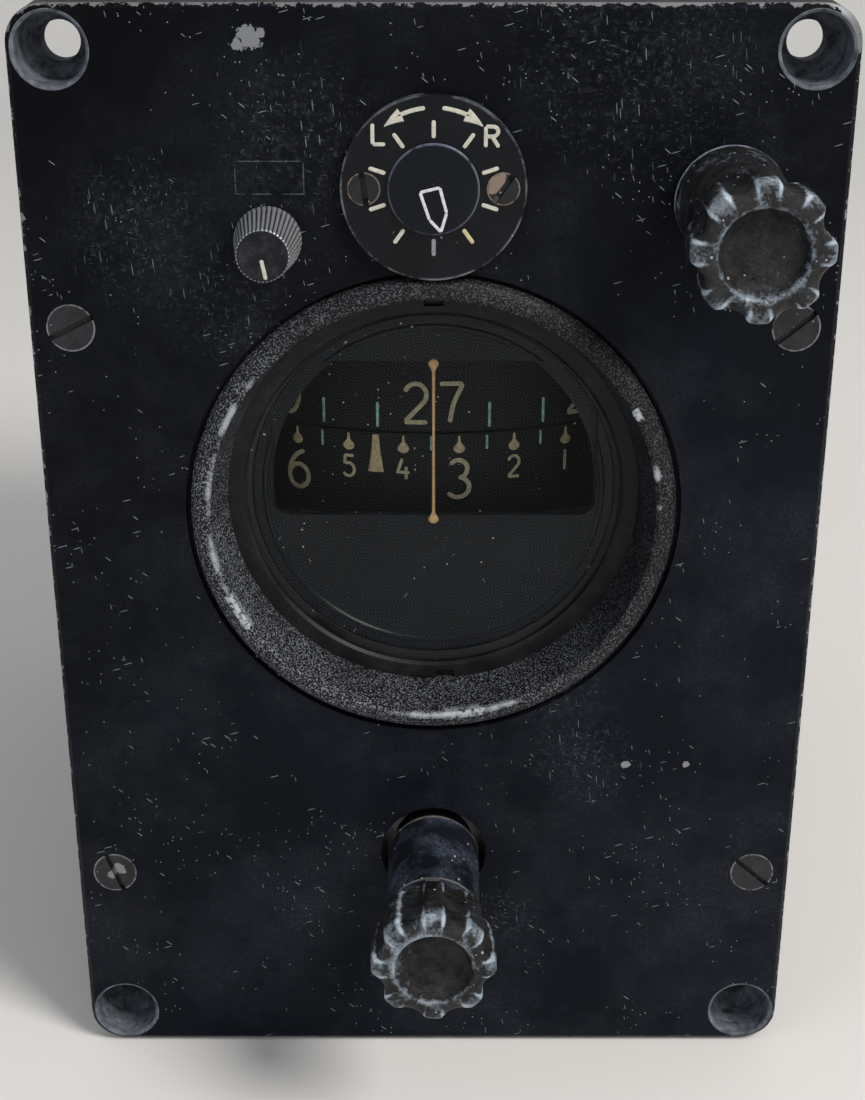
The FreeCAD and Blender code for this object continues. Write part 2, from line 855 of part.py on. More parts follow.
def dial_screws():
    screws = []
    grip = dial_thickness - dial_screw_head_height + dial_screw_grip
    for side, angle in zip((-1, 1), dial_screw_slots):
        screws.append(slotted_countersunk(dial_screw_head_radius, dial_screw_head_height,
                                          dial_screw_radius, grip, face_y - dial_thickness,
                                          side * dial_screw_x, dial_z, angle))
    return Part.makeCompound(screws)


def dial_pointer():
    back_y = face_y - dial_thickness - pointer_gap
    disc = y_revolve([
        (0, back_y - pointer_thickness),
        (pointer_radius - pointer_edge, back_y - pointer_thickness),
        (pointer_radius, back_y - pointer_thickness + pointer_edge),
        (pointer_radius, back_y),
        (0, back_y),
    ], 0, dial_z)
    return disc


def trim_gear(teeth, phase):
    pitch_radius = trim_module * teeth / 2
    width = tooth_share * math.pi * trim_module
    return toothed_face(teeth, pitch_radius, tooth_addendum * trim_module, tooth_root * trim_module, width,
                        flank_angle, phase)


def spindle_with_gear(radius, front_y, teeth, phase, x, z):
    gear = trim_gear(teeth, phase).extrude(Vector(0, 0, trim_gear_width))
    gear = stand_along_y(gear, x, trim_gear_y, z)
    rod = y_cylinder(radius, front_y, trim_gear_y + trim_gear_width + trim_spindle_tail, x, z)
    return gear.fuse(rod).removeSplitter()


def dial_spindle():
    # The gear's tooth points back along the line of centres, towards the idler
    phase = math.pi - trim_line_angle
    front_y = face_y - dial_thickness - pointer_gap
    return spindle_with_gear(pointer_spindle_radius, front_y, trim_gear_teeth, phase, 0, dial_z)


def idler_gear():
    # A gap faces the knob's gear and, half a turn on, another faces the dial's gear
    phase = -trim_line_angle + math.pi / idler_teeth
    gear = trim_gear(idler_teeth, phase).extrude(Vector(0, 0, trim_gear_width))
    gear = gear.cut(z_cylinder(idler_post_radius + running_fit, -1, trim_gear_width + 1, 0, 0))
    return stand_along_y(gear, idler_x, trim_gear_y, idler_z)


def trim_spindle():
    phase = -trim_line_angle
    front_y = face_y - trim_knob_height + trim_knob_crown
    return spindle_with_gear(trim_spindle_radius, front_y, trim_gear_teeth, phase,
                             trim_knob_x, trim_knob_z)


def trim_knob():
    knob = y_revolve([
        (0, face_y - trim_knob_height),
        (trim_knob_top_radius - trim_knob_edge, face_y - trim_knob_height),
        (trim_knob_top_radius, face_y - trim_knob_height + trim_knob_edge),
        (trim_knob_base_radius, face_y - trim_knob_skirt),
        (trim_knob_base_radius, face_y - trim_knob_gap),
        (0, face_y - trim_knob_gap),
    ], trim_knob_x, trim_knob_z)
    flutes = []
    slope = math.atan2(trim_knob_base_radius - trim_knob_top_radius,
                       trim_knob_height - trim_knob_skirt - trim_knob_edge)
    for index in range(trim_knurl_count):
        groove = Part.makeBox(trim_knurl_width, trim_knob_height, trim_knurl_width)
        groove.translate(Vector(-trim_knurl_width / 2, 0, -trim_knurl_width / 2))
        groove.rotate(Vector(0, 0, 0), Y_AXIS, 45)
        groove.rotate(Vector(0, 0, 0), Z_AXIS, -math.degrees(slope))
        groove.translate(Vector(trim_knob_top_radius + trim_knurl_width * math.sqrt(0.5) - trim_knurl_depth,
                                face_y - trim_knob_height - trim_knob_edge / 2, 0))
        groove.rotate(Vector(0, 0, 0), Y_AXIS, 360 * index / trim_knurl_count)
        groove.translate(Vector(trim_knob_x, 0, trim_knob_z))
        flutes.append(groove)
    knob = knob.cut(Part.makeCompound(flutes))
    bore = y_cylinder(trim_spindle_radius, face_y - trim_knob_height + trim_knob_crown, face_y,
                      trim_knob_x, trim_knob_z)
    return knob.cut(bore)


def joint_frame(y0, y1, holes):
    # A flat frame along the case's wall, with a hole for each screw
    outer = rounded_block(case_half_width, y0, y1, -case_half_height, case_half_height,
                          case_corner_radius)
    inner_x = case_half_width - joint_gasket_width
    inner_z = case_half_height - joint_gasket_width + case_wall
    frame = outer.cut(rounded_block(inner_x, y0 - 1, y1 + 1, -inner_z + 1, inner_z - 1,
                                    case_corner_radius - 2))
    tools = [y_cylinder(radius, y0 - 1, y1 + 1, x, z) for radius, x, z in holes]
    return cut_all(frame, tools)


def front_gasket():
    holes = [(panel_screw_radius + gasket_hole_gap, x, z) for x, z in case_screw_places()]
    return joint_frame(0, joint_gasket, holes)


def rear_gasket():
    holes = [(cover_screw_radius + gasket_hole_gap, x, z) for x, z in cover_screw_places()]
    return joint_frame(case_back_y, cover_front_y, holes)


def case_body():
    outer = rounded_block(case_half_width, case_front_y, case_back_y, -case_half_height,
                          case_half_height, case_corner_radius)
    inner_x = case_half_width - case_wall
    inner = rounded_block(inner_x, case_front_y - 1, case_back_y + 1, -roof_z, roof_z,
                          case_corner_radius - case_wall)
    body = outer
    for side in (-1, 1):
        pad = z_cylinder(bearing_pad_radius, -pad_top_z, 0, 0, axis_y)
        if side > 0:
            pad = z_cylinder(bearing_pad_radius, 0, pad_top_z, 0, axis_y)
        body = body.fuse(pad)
    rib_step = case_depth / (rib_count + 1)
    for index in range(rib_count):
        rib_y = case_front_y + rib_step * (index + 1)
        for side in (-1, 1):
            face_x = side * case_half_width
            rib = box(min(face_x, face_x + side * rib_height), max(face_x, face_x + side * rib_height),
                      rib_y - rib_width / 2, rib_y + rib_width / 2,
                      -case_half_height + case_corner_radius, case_half_height - case_corner_radius)
            body = body.fuse(rib)
    body = body.cut(inner)
    for x, z in case_screw_places():
        wall_x = math.copysign(inner_x + case_wall / 4, x)
        inside_x = math.copysign(case_half_width - case_boss_width, x)
        boss = box(min(wall_x, inside_x), max(wall_x, inside_x), case_front_y,
                   case_front_y + case_boss_length, z - case_boss_height / 2, z + case_boss_height / 2)
        body = body.fuse(boss)
    for x, z in cover_screw_places():
        boss = y_cylinder(cover_boss_radius, case_back_y - cover_boss_length, case_back_y, x, z)
        wall_x = math.copysign(inner_x + case_wall / 4, x)
        web = box(min(x, wall_x), max(x, wall_x),
                  case_back_y - cover_boss_length, case_back_y, z - cover_boss_radius, z + cover_boss_radius)
        body = body.fuse(boss).fuse(web)
    for x, z in case_screw_places():
        body = body.cut(y_cylinder(panel_screw_radius + screw_clearance, case_front_y - 1,
                                   panel_screw_grip + panel_screw_tail, x, z))
    for x, z in cover_screw_places():
        body = body.cut(y_cylinder(cover_screw_radius + screw_clearance,
                                   case_back_y - cover_screw_grip - 1, case_back_y + 1, x, z))
    body = body.cut(z_cylinder(plug_radius + plug_fit, -pad_top_z - 1, pad_top_z + 1, 0, axis_y))
    for x, y in post_screw_places():
        hole = z_cylinder(post_screw_radius + screw_clearance, -pad_top_z - 1, pad_top_z + 1, x, y)
        body = body.cut(hole)
    for side in (-1, 1):
        hole = z_cylinder(small_screw_radius + screw_clearance, roof_z - 1, case_half_height + 1,
                          course_knob_x + side * (bracket_width / 2 - bracket_screw_inset), bracket_y)
        body = body.cut(hole)
    return body.removeSplitter()


def post_screw_places():
    places = []
    for index in range(post_screw_count):
        angle = math.radians(90 + 360 * index / post_screw_count)
        circle = post_flange_radius - post_screw_inset
        places.append((circle * math.cos(angle), axis_y + circle * math.sin(angle)))
    return places


def post_screws():
    screws = []
    for x, y in post_screw_places():
        upper = cheese_screw(post_screw_head_radius, post_screw_head_height, post_screw_radius,
                             post_flange_thickness + post_screw_grip)
        upper.rotate(Vector(0, 0, 0), Vector(1, 0, 0), 180)
        upper.translate(Vector(x, y, pad_top_z + post_flange_thickness))
        lower = cheese_screw(post_screw_head_radius, post_screw_head_height, post_screw_radius,
                             post_flange_thickness + post_screw_grip)
        lower.translate(Vector(x, y, -pad_top_z - post_flange_thickness))
        screws.extend([upper, lower])
    return Part.makeCompound(screws)


def top_post():
    # Flange outside the roof, plug through it, then the long post that the upper card runs on
    seat_low = post_low_z
    seat_high = post_low_z + upper_bearing_width + bearing_shoulder
    post = z_revolve([
        (0, pad_top_z + post_flange_thickness),
        (post_flange_radius - post_flange_bevel, pad_top_z + post_flange_thickness),
        (post_flange_radius, pad_top_z + post_flange_thickness - post_flange_bevel),
        (post_flange_radius, pad_top_z),
        (plug_radius, pad_top_z),
        (plug_radius, roof_z - plug_reach),
        (post_radius, roof_z - plug_reach),
        (post_radius, seat_low),
        (upper_bearing_radius + bearing_fit, seat_low),
        (upper_bearing_radius + bearing_fit, seat_high),
        (trunnion_radius + bearing_shoulder, seat_high),
        (trunnion_radius + bearing_shoulder, seat_high + trunnion_seat_length),
        (0, seat_high + trunnion_seat_length),
    ], 0, axis_y)
    for x, y in post_screw_places():
        post = post.cut(z_cylinder(post_screw_radius + screw_clearance, pad_top_z - 1,
                                   pad_top_z + post_flange_thickness + 1, x, y))
    return post


def lower_cup():
    seat_low = lower_bearing_z
    cup = z_revolve([
        (0, -pad_top_z - post_flange_thickness),
        (post_flange_radius - post_flange_bevel, -pad_top_z - post_flange_thickness),
        (post_flange_radius, -pad_top_z - post_flange_thickness + post_flange_bevel),
        (post_flange_radius, -pad_top_z),
        (plug_radius, -pad_top_z),
        (plug_radius, seat_low + lower_bearing_width),
        (lower_bearing_radius + bearing_fit, seat_low + lower_bearing_width),
        (lower_bearing_radius + bearing_fit, seat_low),
        (trunnion_radius + bearing_shoulder, seat_low),
        (trunnion_radius + bearing_shoulder, seat_low - bearing_shoulder),
        (0, seat_low - bearing_shoulder),
    ], 0, axis_y)
    for x, y in post_screw_places():
        cup = cup.cut(z_cylinder(post_screw_radius + screw_clearance, -pad_top_z - post_flange_thickness - 1,
                                 -pad_top_z + 1, x, y))
    return cup


def z_bearing(outer, inner, z0, z1, x, y):
    # One ring with a groove turned in each face between the two races
    middle = (outer + inner) / 2
    groove = bearing_groove_share * (outer - inner)
    depth = bearing_groove_depth
    return z_revolve([
        (inner, z0), (middle - groove, z0), (middle - groove, z0 + depth),
        (middle + groove, z0 + depth), (middle + groove, z0), (outer, z0),
        (outer, z1), (middle + groove, z1), (middle + groove, z1 - depth),
        (middle - groove, z1 - depth), (middle - groove, z1), (inner, z1),
    ], x, y)


def upper_bearing():
    low = post_low_z
    return z_bearing(upper_bearing_radius, trunnion_radius + running_fit, low, low + upper_bearing_width,
                     0, axis_y)


def lower_bearing():
    low = lower_bearing_z
    return z_bearing(lower_bearing_radius, trunnion_radius + running_fit, low, low + lower_bearing_width,
                     0, axis_y)


def vertical_ring():
    half = ring_width / 2
    outer = y_cylinder(ring_radius, axis_y - half, axis_y + half, 0, gimbal_z)
    inner = y_cylinder(ring_inner_radius, axis_y - half - 1, axis_y + half + 1, 0, gimbal_z)
    ring = outer.cut(inner)
    for side in (-1, 1):
        start = side * (ring_inner_radius - side_boss_length)
        stop = side * (ring_radius + side_boss_step)
        ring = ring.fuse(x_cylinder(side_boss_radius, min(start, stop), max(start, stop), axis_y, gimbal_z))
    flat_top = box(-ring_radius, ring_radius, axis_y - ring_width, axis_y + ring_width, ring_top_z,
                   ring_top_z + ring_section)
    flat_low = box(-ring_radius, ring_radius, axis_y - ring_width, axis_y + ring_width,
                   ring_bottom_z - ring_section, ring_bottom_z)
    ring = cut_all(ring, [flat_top, flat_low])
    bore = x_cylinder(pivot_bearing_radius + bearing_fit, -ring_radius - ring_section,
                      ring_radius + ring_section, axis_y, gimbal_z)
    return ring.cut(bore).removeSplitter()


def upper_trunnion():
    return z_revolve([
        (0, ring_top_z),
        (trunnion_flange_radius, ring_top_z),
        (trunnion_flange_radius, lower_disc_z),
        (trunnion_seat_radius, lower_disc_z),
        (trunnion_seat_radius, upper_seat_z),
        (trunnion_radius, upper_seat_z),
        (trunnion_radius, post_low_z + upper_bearing_width + trunnion_end_gap),
        (0, post_low_z + upper_bearing_width + trunnion_end_gap),
    ], 0, axis_y)


def lower_trunnion():
    bearing_top = lower_bearing_z + lower_bearing_width
    return z_revolve([
        (0, ring_bottom_z),
        (trunnion_flange_radius, ring_bottom_z),
        (trunnion_flange_radius, sync_disc_top_z),
        (trunnion_seat_radius, sync_disc_top_z),
        (trunnion_seat_radius, bearing_top + running_fit),
        (trunnion_radius, bearing_top + running_fit),
        (trunnion_radius, lower_bearing_z - trunnion_end_gap),
        (0, lower_bearing_z - trunnion_end_gap),
    ], 0, axis_y)


def gimbal_bearings():
    bearings = []
    for side in (-1, 1):
        start = side * (ring_inner_radius - side_boss_length)
        stop = side * (ring_inner_radius - side_boss_length + pivot_bearing_width)
        bearing = x_cylinder(pivot_bearing_radius, min(start, stop), max(start, stop), axis_y, gimbal_z)
        bore = x_cylinder(pivot_radius + running_fit, -ring_radius, ring_radius, axis_y, gimbal_z)
        bearings.append(bearing.cut(bore))
    return Part.makeCompound(bearings)


def card_holes(z0, z1):
    holes = []
    for index in range(card_hole_count):
        angle = 2 * math.pi * (index + 0.5) / card_hole_count
        holes.append(z_cylinder(card_hole_radius, z0, z1, card_hole_circle * math.cos(angle),
                                axis_y + card_hole_circle * math.sin(angle)))
    return holes


def azimuth_card():
    # Top disc on the trunnion, a skirt inside the upper card, then out to the band
    disc_top = lower_disc_z + card_disc_thickness
    shelf_z = disc_top - lower_skirt_drop
    skirt_inner = lower_skirt_radius - card_wall
    band_inner = card_radius - card_wall
    bore = trunnion_seat_radius + bearing_fit
    card = z_revolve([
        (bore, lower_disc_z),
        (skirt_inner, lower_disc_z),
        (skirt_inner, shelf_z),
        (band_inner, shelf_z),
        (band_inner, lower_card_low_z),
        (card_radius, lower_card_low_z),
        (card_radius, lower_card_top_z),
        (band_inner, lower_card_top_z),
        (band_inner, shelf_z + card_wall),
        (lower_skirt_radius, shelf_z + card_wall),
        (lower_skirt_radius, disc_top),
        (2 * trunnion_seat_radius, disc_top),
        (2 * trunnion_seat_radius, disc_top + card_hub_height),
        (bore, disc_top + card_hub_height),
    ], 0, axis_y)
    return cut_all(card, card_holes(lower_disc_z - 1, disc_top + 1))


def sync_disc():
    # Thin disc with a raised rim, its outer top edge bevelled for the friction wheel
    top = sync_disc_top_z
    low = top - sync_disc_thickness
    rim_inner = sync_disc_radius - sync_rim_width
    disc = z_revolve([
        (trunnion_seat_radius + bearing_fit, top),
        (rim_inner, top),
        (rim_inner, top + sync_rim_rise),
        (sync_disc_radius - sync_rim_bevel, top + sync_rim_rise),
        (sync_disc_radius, top + sync_rim_rise - sync_rim_bevel),
        (sync_disc_radius, low),
        (trunnion_seat_radius + bearing_fit, low),
    ], 0, axis_y)
    return cut_all(disc, card_holes(low - 1, top + 1))


def pickoff_vane():
    # Half a disc, so that it covers one air port more than the other as the ring turns
    hub_top = sync_disc_top_z - sync_disc_thickness
    hub = z_cylinder(vane_hub_radius, vane_z, hub_top, 0, axis_y)
    plate = z_cylinder(vane_radius, vane_z, vane_z + vane_thickness, 0, axis_y)
    half = box(0, vane_radius + 1, axis_y - vane_radius - 1, axis_y + vane_radius + 1,
               vane_z - 1, vane_z + vane_thickness + 1)
    vane = hub.fuse(plate.cut(half))
    bore = z_cylinder(trunnion_seat_radius + bearing_fit, vane_z - 1, hub_top + 1, 0, axis_y)
    return vane.cut(bore).removeSplitter()


def pickoff_block():
    # A block on the floor whose slot straddles the edge of the half disc
    low = -roof_z
    block = box(-block_width / 2, block_width / 2, axis_y + block_inner_radius, axis_y + block_outer_radius,
                low, low + block_height)
    slot = box(-block_width, block_width, axis_y + block_inner_radius - 1,
               axis_y + vane_radius + block_slot_reach, vane_z - block_slot,
               vane_z + vane_thickness + block_slot)
    block = block.cut(slot)
    for side in (-1, 1):
        hole = y_cylinder(pipe_radius + fitting_clearance, axis_y + block_outer_radius - pipe_insert,
                          axis_y + block_outer_radius + 1, side * pipe_spread, low + block_height / 2)
        block = block.cut(hole)
    return block


def pickoff_pipes():
    # Each pipe runs back along the floor, turns up and ends in the relay's underside
    pipes = []
    run_z = -roof_z + block_height / 2
    start_y = axis_y + block_outer_radius - pipe_insert
    rise_y = cover_front_y - relay_depth / 2
    end_z = relay_low_z + pipe_insert
    for side in (-1, 1):
        x = side * pipe_spread
        bend_start = Vector(x, rise_y - pipe_bend, run_z)
        bend_middle = Vector(x, rise_y - pipe_bend * (1 - math.sin(math.radians(45))),
                             run_z + pipe_bend * (1 - math.cos(math.radians(45))))
        bend_end = Vector(x, rise_y, run_z + pipe_bend)
        path = Part.Wire([
            Part.LineSegment(Vector(x, start_y, run_z), bend_start).toShape(),
            Part.Arc(bend_start, bend_middle, bend_end).toShape(),
            Part.LineSegment(bend_end, Vector(x, rise_y, end_z)).toShape(),
        ])
        circle = Part.Wire(Part.makeCircle(pipe_radius, Vector(x, start_y, run_z), Y_AXIS))
        pipes.append(path.makePipeShell([circle], True, True))
    return Part.makeCompound(pipes)


def housing_cup():
    start = axis_y - housing_half_length
    stop = axis_y + housing_half_length - housing_end_wall
    cup = y_revolve([
        (spindle_bearing_radius + bearing_fit, start - housing_boss_length),
        (housing_boss_radius, start - housing_boss_length),
        (housing_boss_radius + housing_end_wall / 2, start),
        (housing_radius - housing_edge, start),
        (housing_radius, start + housing_edge),
        (housing_radius, stop),
        (housing_radius - housing_wall, stop),
        (housing_radius - housing_wall, start + housing_end_wall),
        (spindle_bearing_radius + bearing_fit, start + housing_end_wall),
    ], 0, gimbal_z)
    side_reach = ring_inner_radius - side_boss_length - side_boss_gap
    for side in (-1, 1):
        start_x = side * (housing_radius - housing_wall / 2)
        stop_x = side * side_reach
        cup = cup.fuse(x_cylinder(housing_boss_radius, min(start_x, stop_x), max(start_x, stop_x),
                                  axis_y, gimbal_z))
    cup = cup.cut(y_cylinder(housing_radius - housing_wall, start + housing_end_wall, stop + 1, 0, gimbal_z))
    cup = cup.cut(x_cylinder(pivot_radius, -side_reach - 1, side_reach + 1, axis_y, gimbal_z))
    vent = z_cylinder(housing_vent_radius, gimbal_z + rotor_radius, gimbal_z + housing_radius + 1, 0, axis_y)
    jet = z_cylinder(housing_jet_radius, gimbal_z - housing_radius - 1, gimbal_z - rotor_radius + 1,
                     housing_jet_x, axis_y)
    return cut_all(cup, [vent, jet]).removeSplitter()


def housing_cover():
    start = axis_y + housing_half_length - housing_end_wall
    stop = axis_y + housing_half_length
    return y_revolve([
        (spindle_bearing_radius + bearing_fit, start),
        (housing_radius, start),
        (housing_radius, stop - housing_end_wall / 2),
        (housing_radius - housing_end_wall / 2, stop),
        (housing_boss_radius + housing_end_wall / 2, stop),
        (housing_boss_radius, stop + housing_boss_length),
        (spindle_bearing_radius + bearing_fit, stop + housing_boss_length),
    ], 0, gimbal_z)


def housing_pivots():
    pins = []
    reach = ring_inner_radius - side_boss_length + pivot_bearing_width - pivot_end_gap
    root = housing_radius - housing_wall / 2
    for side in (-1, 1):
        pins.append(x_cylinder(pivot_radius, min(side * root, side * reach), max(side * root, side * reach),
                               axis_y, gimbal_z))
    return Part.makeCompound(pins)


def rotor():
    # A heavy rim on a thin web, with a row of buckets milled into the rim
    half = rotor_half_width
    web = rotor_web / 2
    rim_inner = rotor_radius - rotor_rim
    wheel = y_revolve([
        (spindle_radius, axis_y - half),
        (rotor_hub_radius, axis_y - half),
        (rotor_hub_radius, axis_y - web),
        (rim_inner, axis_y - web),
        (rim_inner, axis_y - half),
        (rotor_radius, axis_y - half),
        (rotor_radius, axis_y + half),
        (rim_inner, axis_y + half),
        (rim_inner, axis_y + web),
        (rotor_hub_radius, axis_y + web),
        (rotor_hub_radius, axis_y + half),
        (spindle_radius, axis_y + half),
    ], 0, gimbal_z)
    buckets = []
    reach = rotor_radius - bucket_depth + bucket_radius
    for index in range(bucket_count):
        angle = 2 * math.pi * index / bucket_count
        buckets.append(y_cylinder(bucket_radius, axis_y - half / 2, axis_y + half / 2,
                                  reach * math.cos(angle), gimbal_z + reach * math.sin(angle)))
    return wheel.cut(Part.makeCompound(buckets))


def rotor_spindle():
    reach = housing_half_length + housing_boss_length - spindle_end_gap
    return y_cylinder(spindle_radius, axis_y - reach, axis_y + reach, 0, gimbal_z)


def rotor_bearings():
    bearings = []
    for side in (-1, 1):
        stop = axis_y + side * (housing_half_length + housing_boss_length)
        start = stop - side * spindle_bearing_width
        bearing = y_cylinder(spindle_bearing_radius, min(start, stop), max(start, stop), 0, gimbal_z)
        bore = y_cylinder(spindle_radius + running_fit, axis_y - 2 * housing_half_length,
                          axis_y + 2 * housing_half_length, 0, gimbal_z)
        bearings.append(bearing.cut(bore))
    return Part.makeCompound(bearings)


def course_card():
    # Band hanging from a disc, with a short hub that seats on the worm wheel's hub
    disc_top = upper_disc_z + card_disc_thickness
    band_inner = card_radius - card_wall
    card = z_revolve([
        (hub_radius + bearing_fit, upper_disc_z),
        (band_inner, upper_disc_z),
        (band_inner, upper_card_low_z),
        (card_radius, upper_card_low_z),
        (card_radius, disc_top),
        (hub_radius + bearing_fit, disc_top),
    ], 0, axis_y)
    return cut_all(card, card_holes(upper_disc_z - 1, disc_top + 1))


def worm_wheel():
    tip = worm_addendum
    root = worm_addendum + worm_root_gap
    face = toothed_face(wheel_teeth, wheel_pitch_radius, tip, root, wheel_tooth_width, flank_angle, 0)
    teeth = face.extrude(Vector(0, 0, wheel_width))
    teeth.translate(Vector(0, axis_y, course_knob_z - wheel_width / 2))
    rim_inner = wheel_pitch_radius - root - wheel_rim
    for side in (-1, 1):
        start = course_knob_z + side * wheel_web / 2
        stop = course_knob_z + side * (wheel_width / 2 + 1)
        teeth = teeth.cut(z_cylinder(rim_inner, min(start, stop), max(start, stop), 0, axis_y))
    hub_low = upper_disc_z
    hub_high = roof_z - plug_reach - hub_top_gap
    hub = z_cylinder(hub_radius, hub_low, hub_high, 0, axis_y)
    shoulder_z = upper_disc_z + card_disc_thickness
    shoulder = z_cylinder(hub_radius + hub_shoulder, shoulder_z, shoulder_z + hub_shoulder_height, 0, axis_y)
    wheel = fuse_all(teeth, [hub, shoulder])
    wheel = wheel.cut(z_cylinder(post_radius + running_fit, hub_low - 1, hub_high + 1, 0, axis_y))
    middle = (rim_inner + hub_radius) / 2
    opening = (rim_inner - hub_radius) / 2 - wheel_opening_margin
    for index in range(card_hole_count):
        angle = 2 * math.pi * index / card_hole_count
        wheel = wheel.cut(z_cylinder(opening, course_knob_z - wheel_width, course_knob_z + wheel_width,
                                     middle * math.cos(angle), axis_y + middle * math.sin(angle)))
    return wheel


def card_collar():
    high = upper_disc_z - collar_gap
    low = high - collar_height
    return z_revolve([
        (post_radius, low), (collar_radius - collar_bevel, low), (collar_radius, low + collar_bevel),
        (collar_radius, high), (post_radius, high),
    ], 0, axis_y)


def worm_thread():
    # One right-hand thread about Z, longer than the worm at both ends
    root = worm_pitch_radius - worm_addendum - worm_root_gap
    slope = math.tan(math.radians(flank_angle))
    tip_half = worm_thread_width / 2 - worm_addendum * slope
    base_half = worm_thread_width / 2 + (worm_addendum + 2 * worm_root_gap) * slope
    turns = int(worm_length / 2 / worm_pitch) + 2
    low = -turns * worm_pitch
    helix = Part.makeHelix(worm_pitch, 2 * turns * worm_pitch, worm_pitch_radius)
    helix.translate(Vector(0, 0, low))
    profile = Part.makePolygon([
        Vector(root - worm_root_gap, 0, low - base_half),
        Vector(worm_pitch_radius + worm_addendum, 0, low - tip_half),
        Vector(worm_pitch_radius + worm_addendum, 0, low + tip_half),
        Vector(root - worm_root_gap, 0, low + base_half),
        Vector(root - worm_root_gap, 0, low - base_half),
    ])
    thread = Part.Wire(helix).makePipeShell([profile], True, True)
    core = z_cylinder(root, -worm_length / 2, worm_length / 2, 0, 0)
    span = z_cylinder(worm_pitch_radius + 2, -worm_length / 2, worm_length / 2, 0, 0)
    return core.fuse(thread.common(span))


def worm_shaft():
    worm = stand_along_y(worm_thread(), course_knob_x, axis_y, course_knob_z)
    front_y = face_y - course_knob_height + knob_dish_depth + knob_crown
    back_y = bracket_y + bracket_wall / 2 + shaft_end
    rod = y_cylinder(shaft_radius, front_y, back_y, course_knob_x, course_knob_z)
    shaft = worm.fuse(rod)
    return shaft


def worm_bracket():
    # A foot under the roof and an arm with the shaft's rear bearing hole
    middle = bracket_y
    half = bracket_width / 2
    foot = box(course_knob_x - half, course_knob_x + half, middle - bracket_wall - shaft_end,
               middle + bracket_wall + shaft_end, roof_z - bracket_foot, roof_z)
    arm = box(course_knob_x - bracket_eye_radius, course_knob_x + bracket_eye_radius,
              middle - bracket_wall / 2, middle + bracket_wall / 2, course_knob_z, roof_z - bracket_foot / 2)
    eye = y_cylinder(bracket_eye_radius, middle - bracket_wall / 2, middle + bracket_wall / 2,
                     course_knob_x, course_knob_z)
    bracket = fuse_all(foot, [arm, eye])
    bore = y_cylinder(shaft_radius + running_fit, middle - bracket_wall, middle + bracket_wall,
                      course_knob_x, course_knob_z)
    bracket = bracket.cut(bore)
    for side in (-1, 1):
        hole = z_cylinder(small_screw_radius + screw_clearance, roof_z - bracket_foot - 1, roof_z + 1,
                          course_knob_x + side * (half - bracket_screw_inset), middle)
        bracket = bracket.cut(hole)
    return bracket


def small_screws():
    # Two through the roof into the worm bracket, two through the caging plate into its posts
    screws = []
    for side in (-1, 1):
        screw = cheese_screw(small_screw_head_radius, small_screw_head_height, small_screw_radius,
                             case_wall + bracket_foot)
        screw.rotate(Vector(0, 0, 0), Vector(1, 0, 0), 180)
        screw.translate(Vector(course_knob_x + side * (bracket_width / 2 - bracket_screw_inset), bracket_y,
                               case_half_height))
        screws.append(screw)
    for side in (-1, 1):
        screw = cheese_screw(small_screw_head_radius, small_screw_head_height, small_screw_radius,
                             caging_plate_thickness + small_screw_grip - gasket_fit)
        screw.rotate(Vector(0, 0, 0), Vector(1, 0, 0), 90)
        screw.translate(Vector(side * caging_post_x, caging_plate_y + caging_plate_thickness,
                               caging_knob_z))
        screws.append(screw)
    return Part.makeCompound(screws)


def rudder_bush():
    return y_revolve([
        (shaft_radius + running_fit, face_y),
        (bush_radius, face_y),
        (bush_radius, 0),
        (bush_flange_radius, 0),
        (bush_flange_radius, bush_flange_thickness),
        (shaft_radius + running_fit, bush_flange_thickness),
    ], course_knob_x, course_knob_z)


def knob_head(front_y, back_y, x, z):
    # A disc with scalloped lobes, rounded edges and a dished front
    half = knob_edge
    middle = (front_y + back_y) / 2
    head = y_revolve([
        (0, front_y + knob_dish_depth),
        (knob_dish_radius - knob_dish_slope, front_y + knob_dish_depth),
        (knob_dish_radius, front_y + 0.3 * half),
        (knob_dish_radius + 0.4 * half, front_y),
        (knob_head_radius - 2 * half, front_y),
        (knob_head_radius - 0.6 * half, front_y + 0.6 * half),
        (knob_head_radius, front_y + 2 * half),
        (knob_head_radius, middle + knob_taper_start),
        (knob_sleeve_radius + 0.6 * half, back_y),
        (0, back_y),
    ], x, z)
    cuts = []
    reach = knob_head_radius - knob_lobe_cut_depth + knob_lobe_cut_radius
    for index in range(knob_lobe_count):
        angle = 2 * math.pi * (index + 0.5) / knob_lobe_count
        cuts.append(y_cylinder(knob_lobe_cut_radius, front_y - 1, back_y + 1,
                               x + reach * math.cos(angle), z + reach * math.sin(angle)))
    return head.cut(Part.makeCompound(cuts))


def rudder_knob():
    front_y = face_y - course_knob_height
    head = knob_head(front_y, front_y + knob_head_length, course_knob_x, course_knob_z)
    sleeve = y_revolve([
        (0, front_y + knob_head_length - 1),
        (knob_sleeve_radius, front_y + knob_head_length - 1),
        (knob_sleeve_radius, front_y + knob_head_length),
        (knob_skirt_radius, face_y - course_knob_gap),
        (0, face_y - course_knob_gap),
    ], course_knob_x, course_knob_z)
    bore = y_cylinder(shaft_radius, front_y + knob_dish_depth + knob_crown, face_y + 1, course_knob_x,
                      course_knob_z)
    return head.fuse(sleeve).removeSplitter().cut(bore)


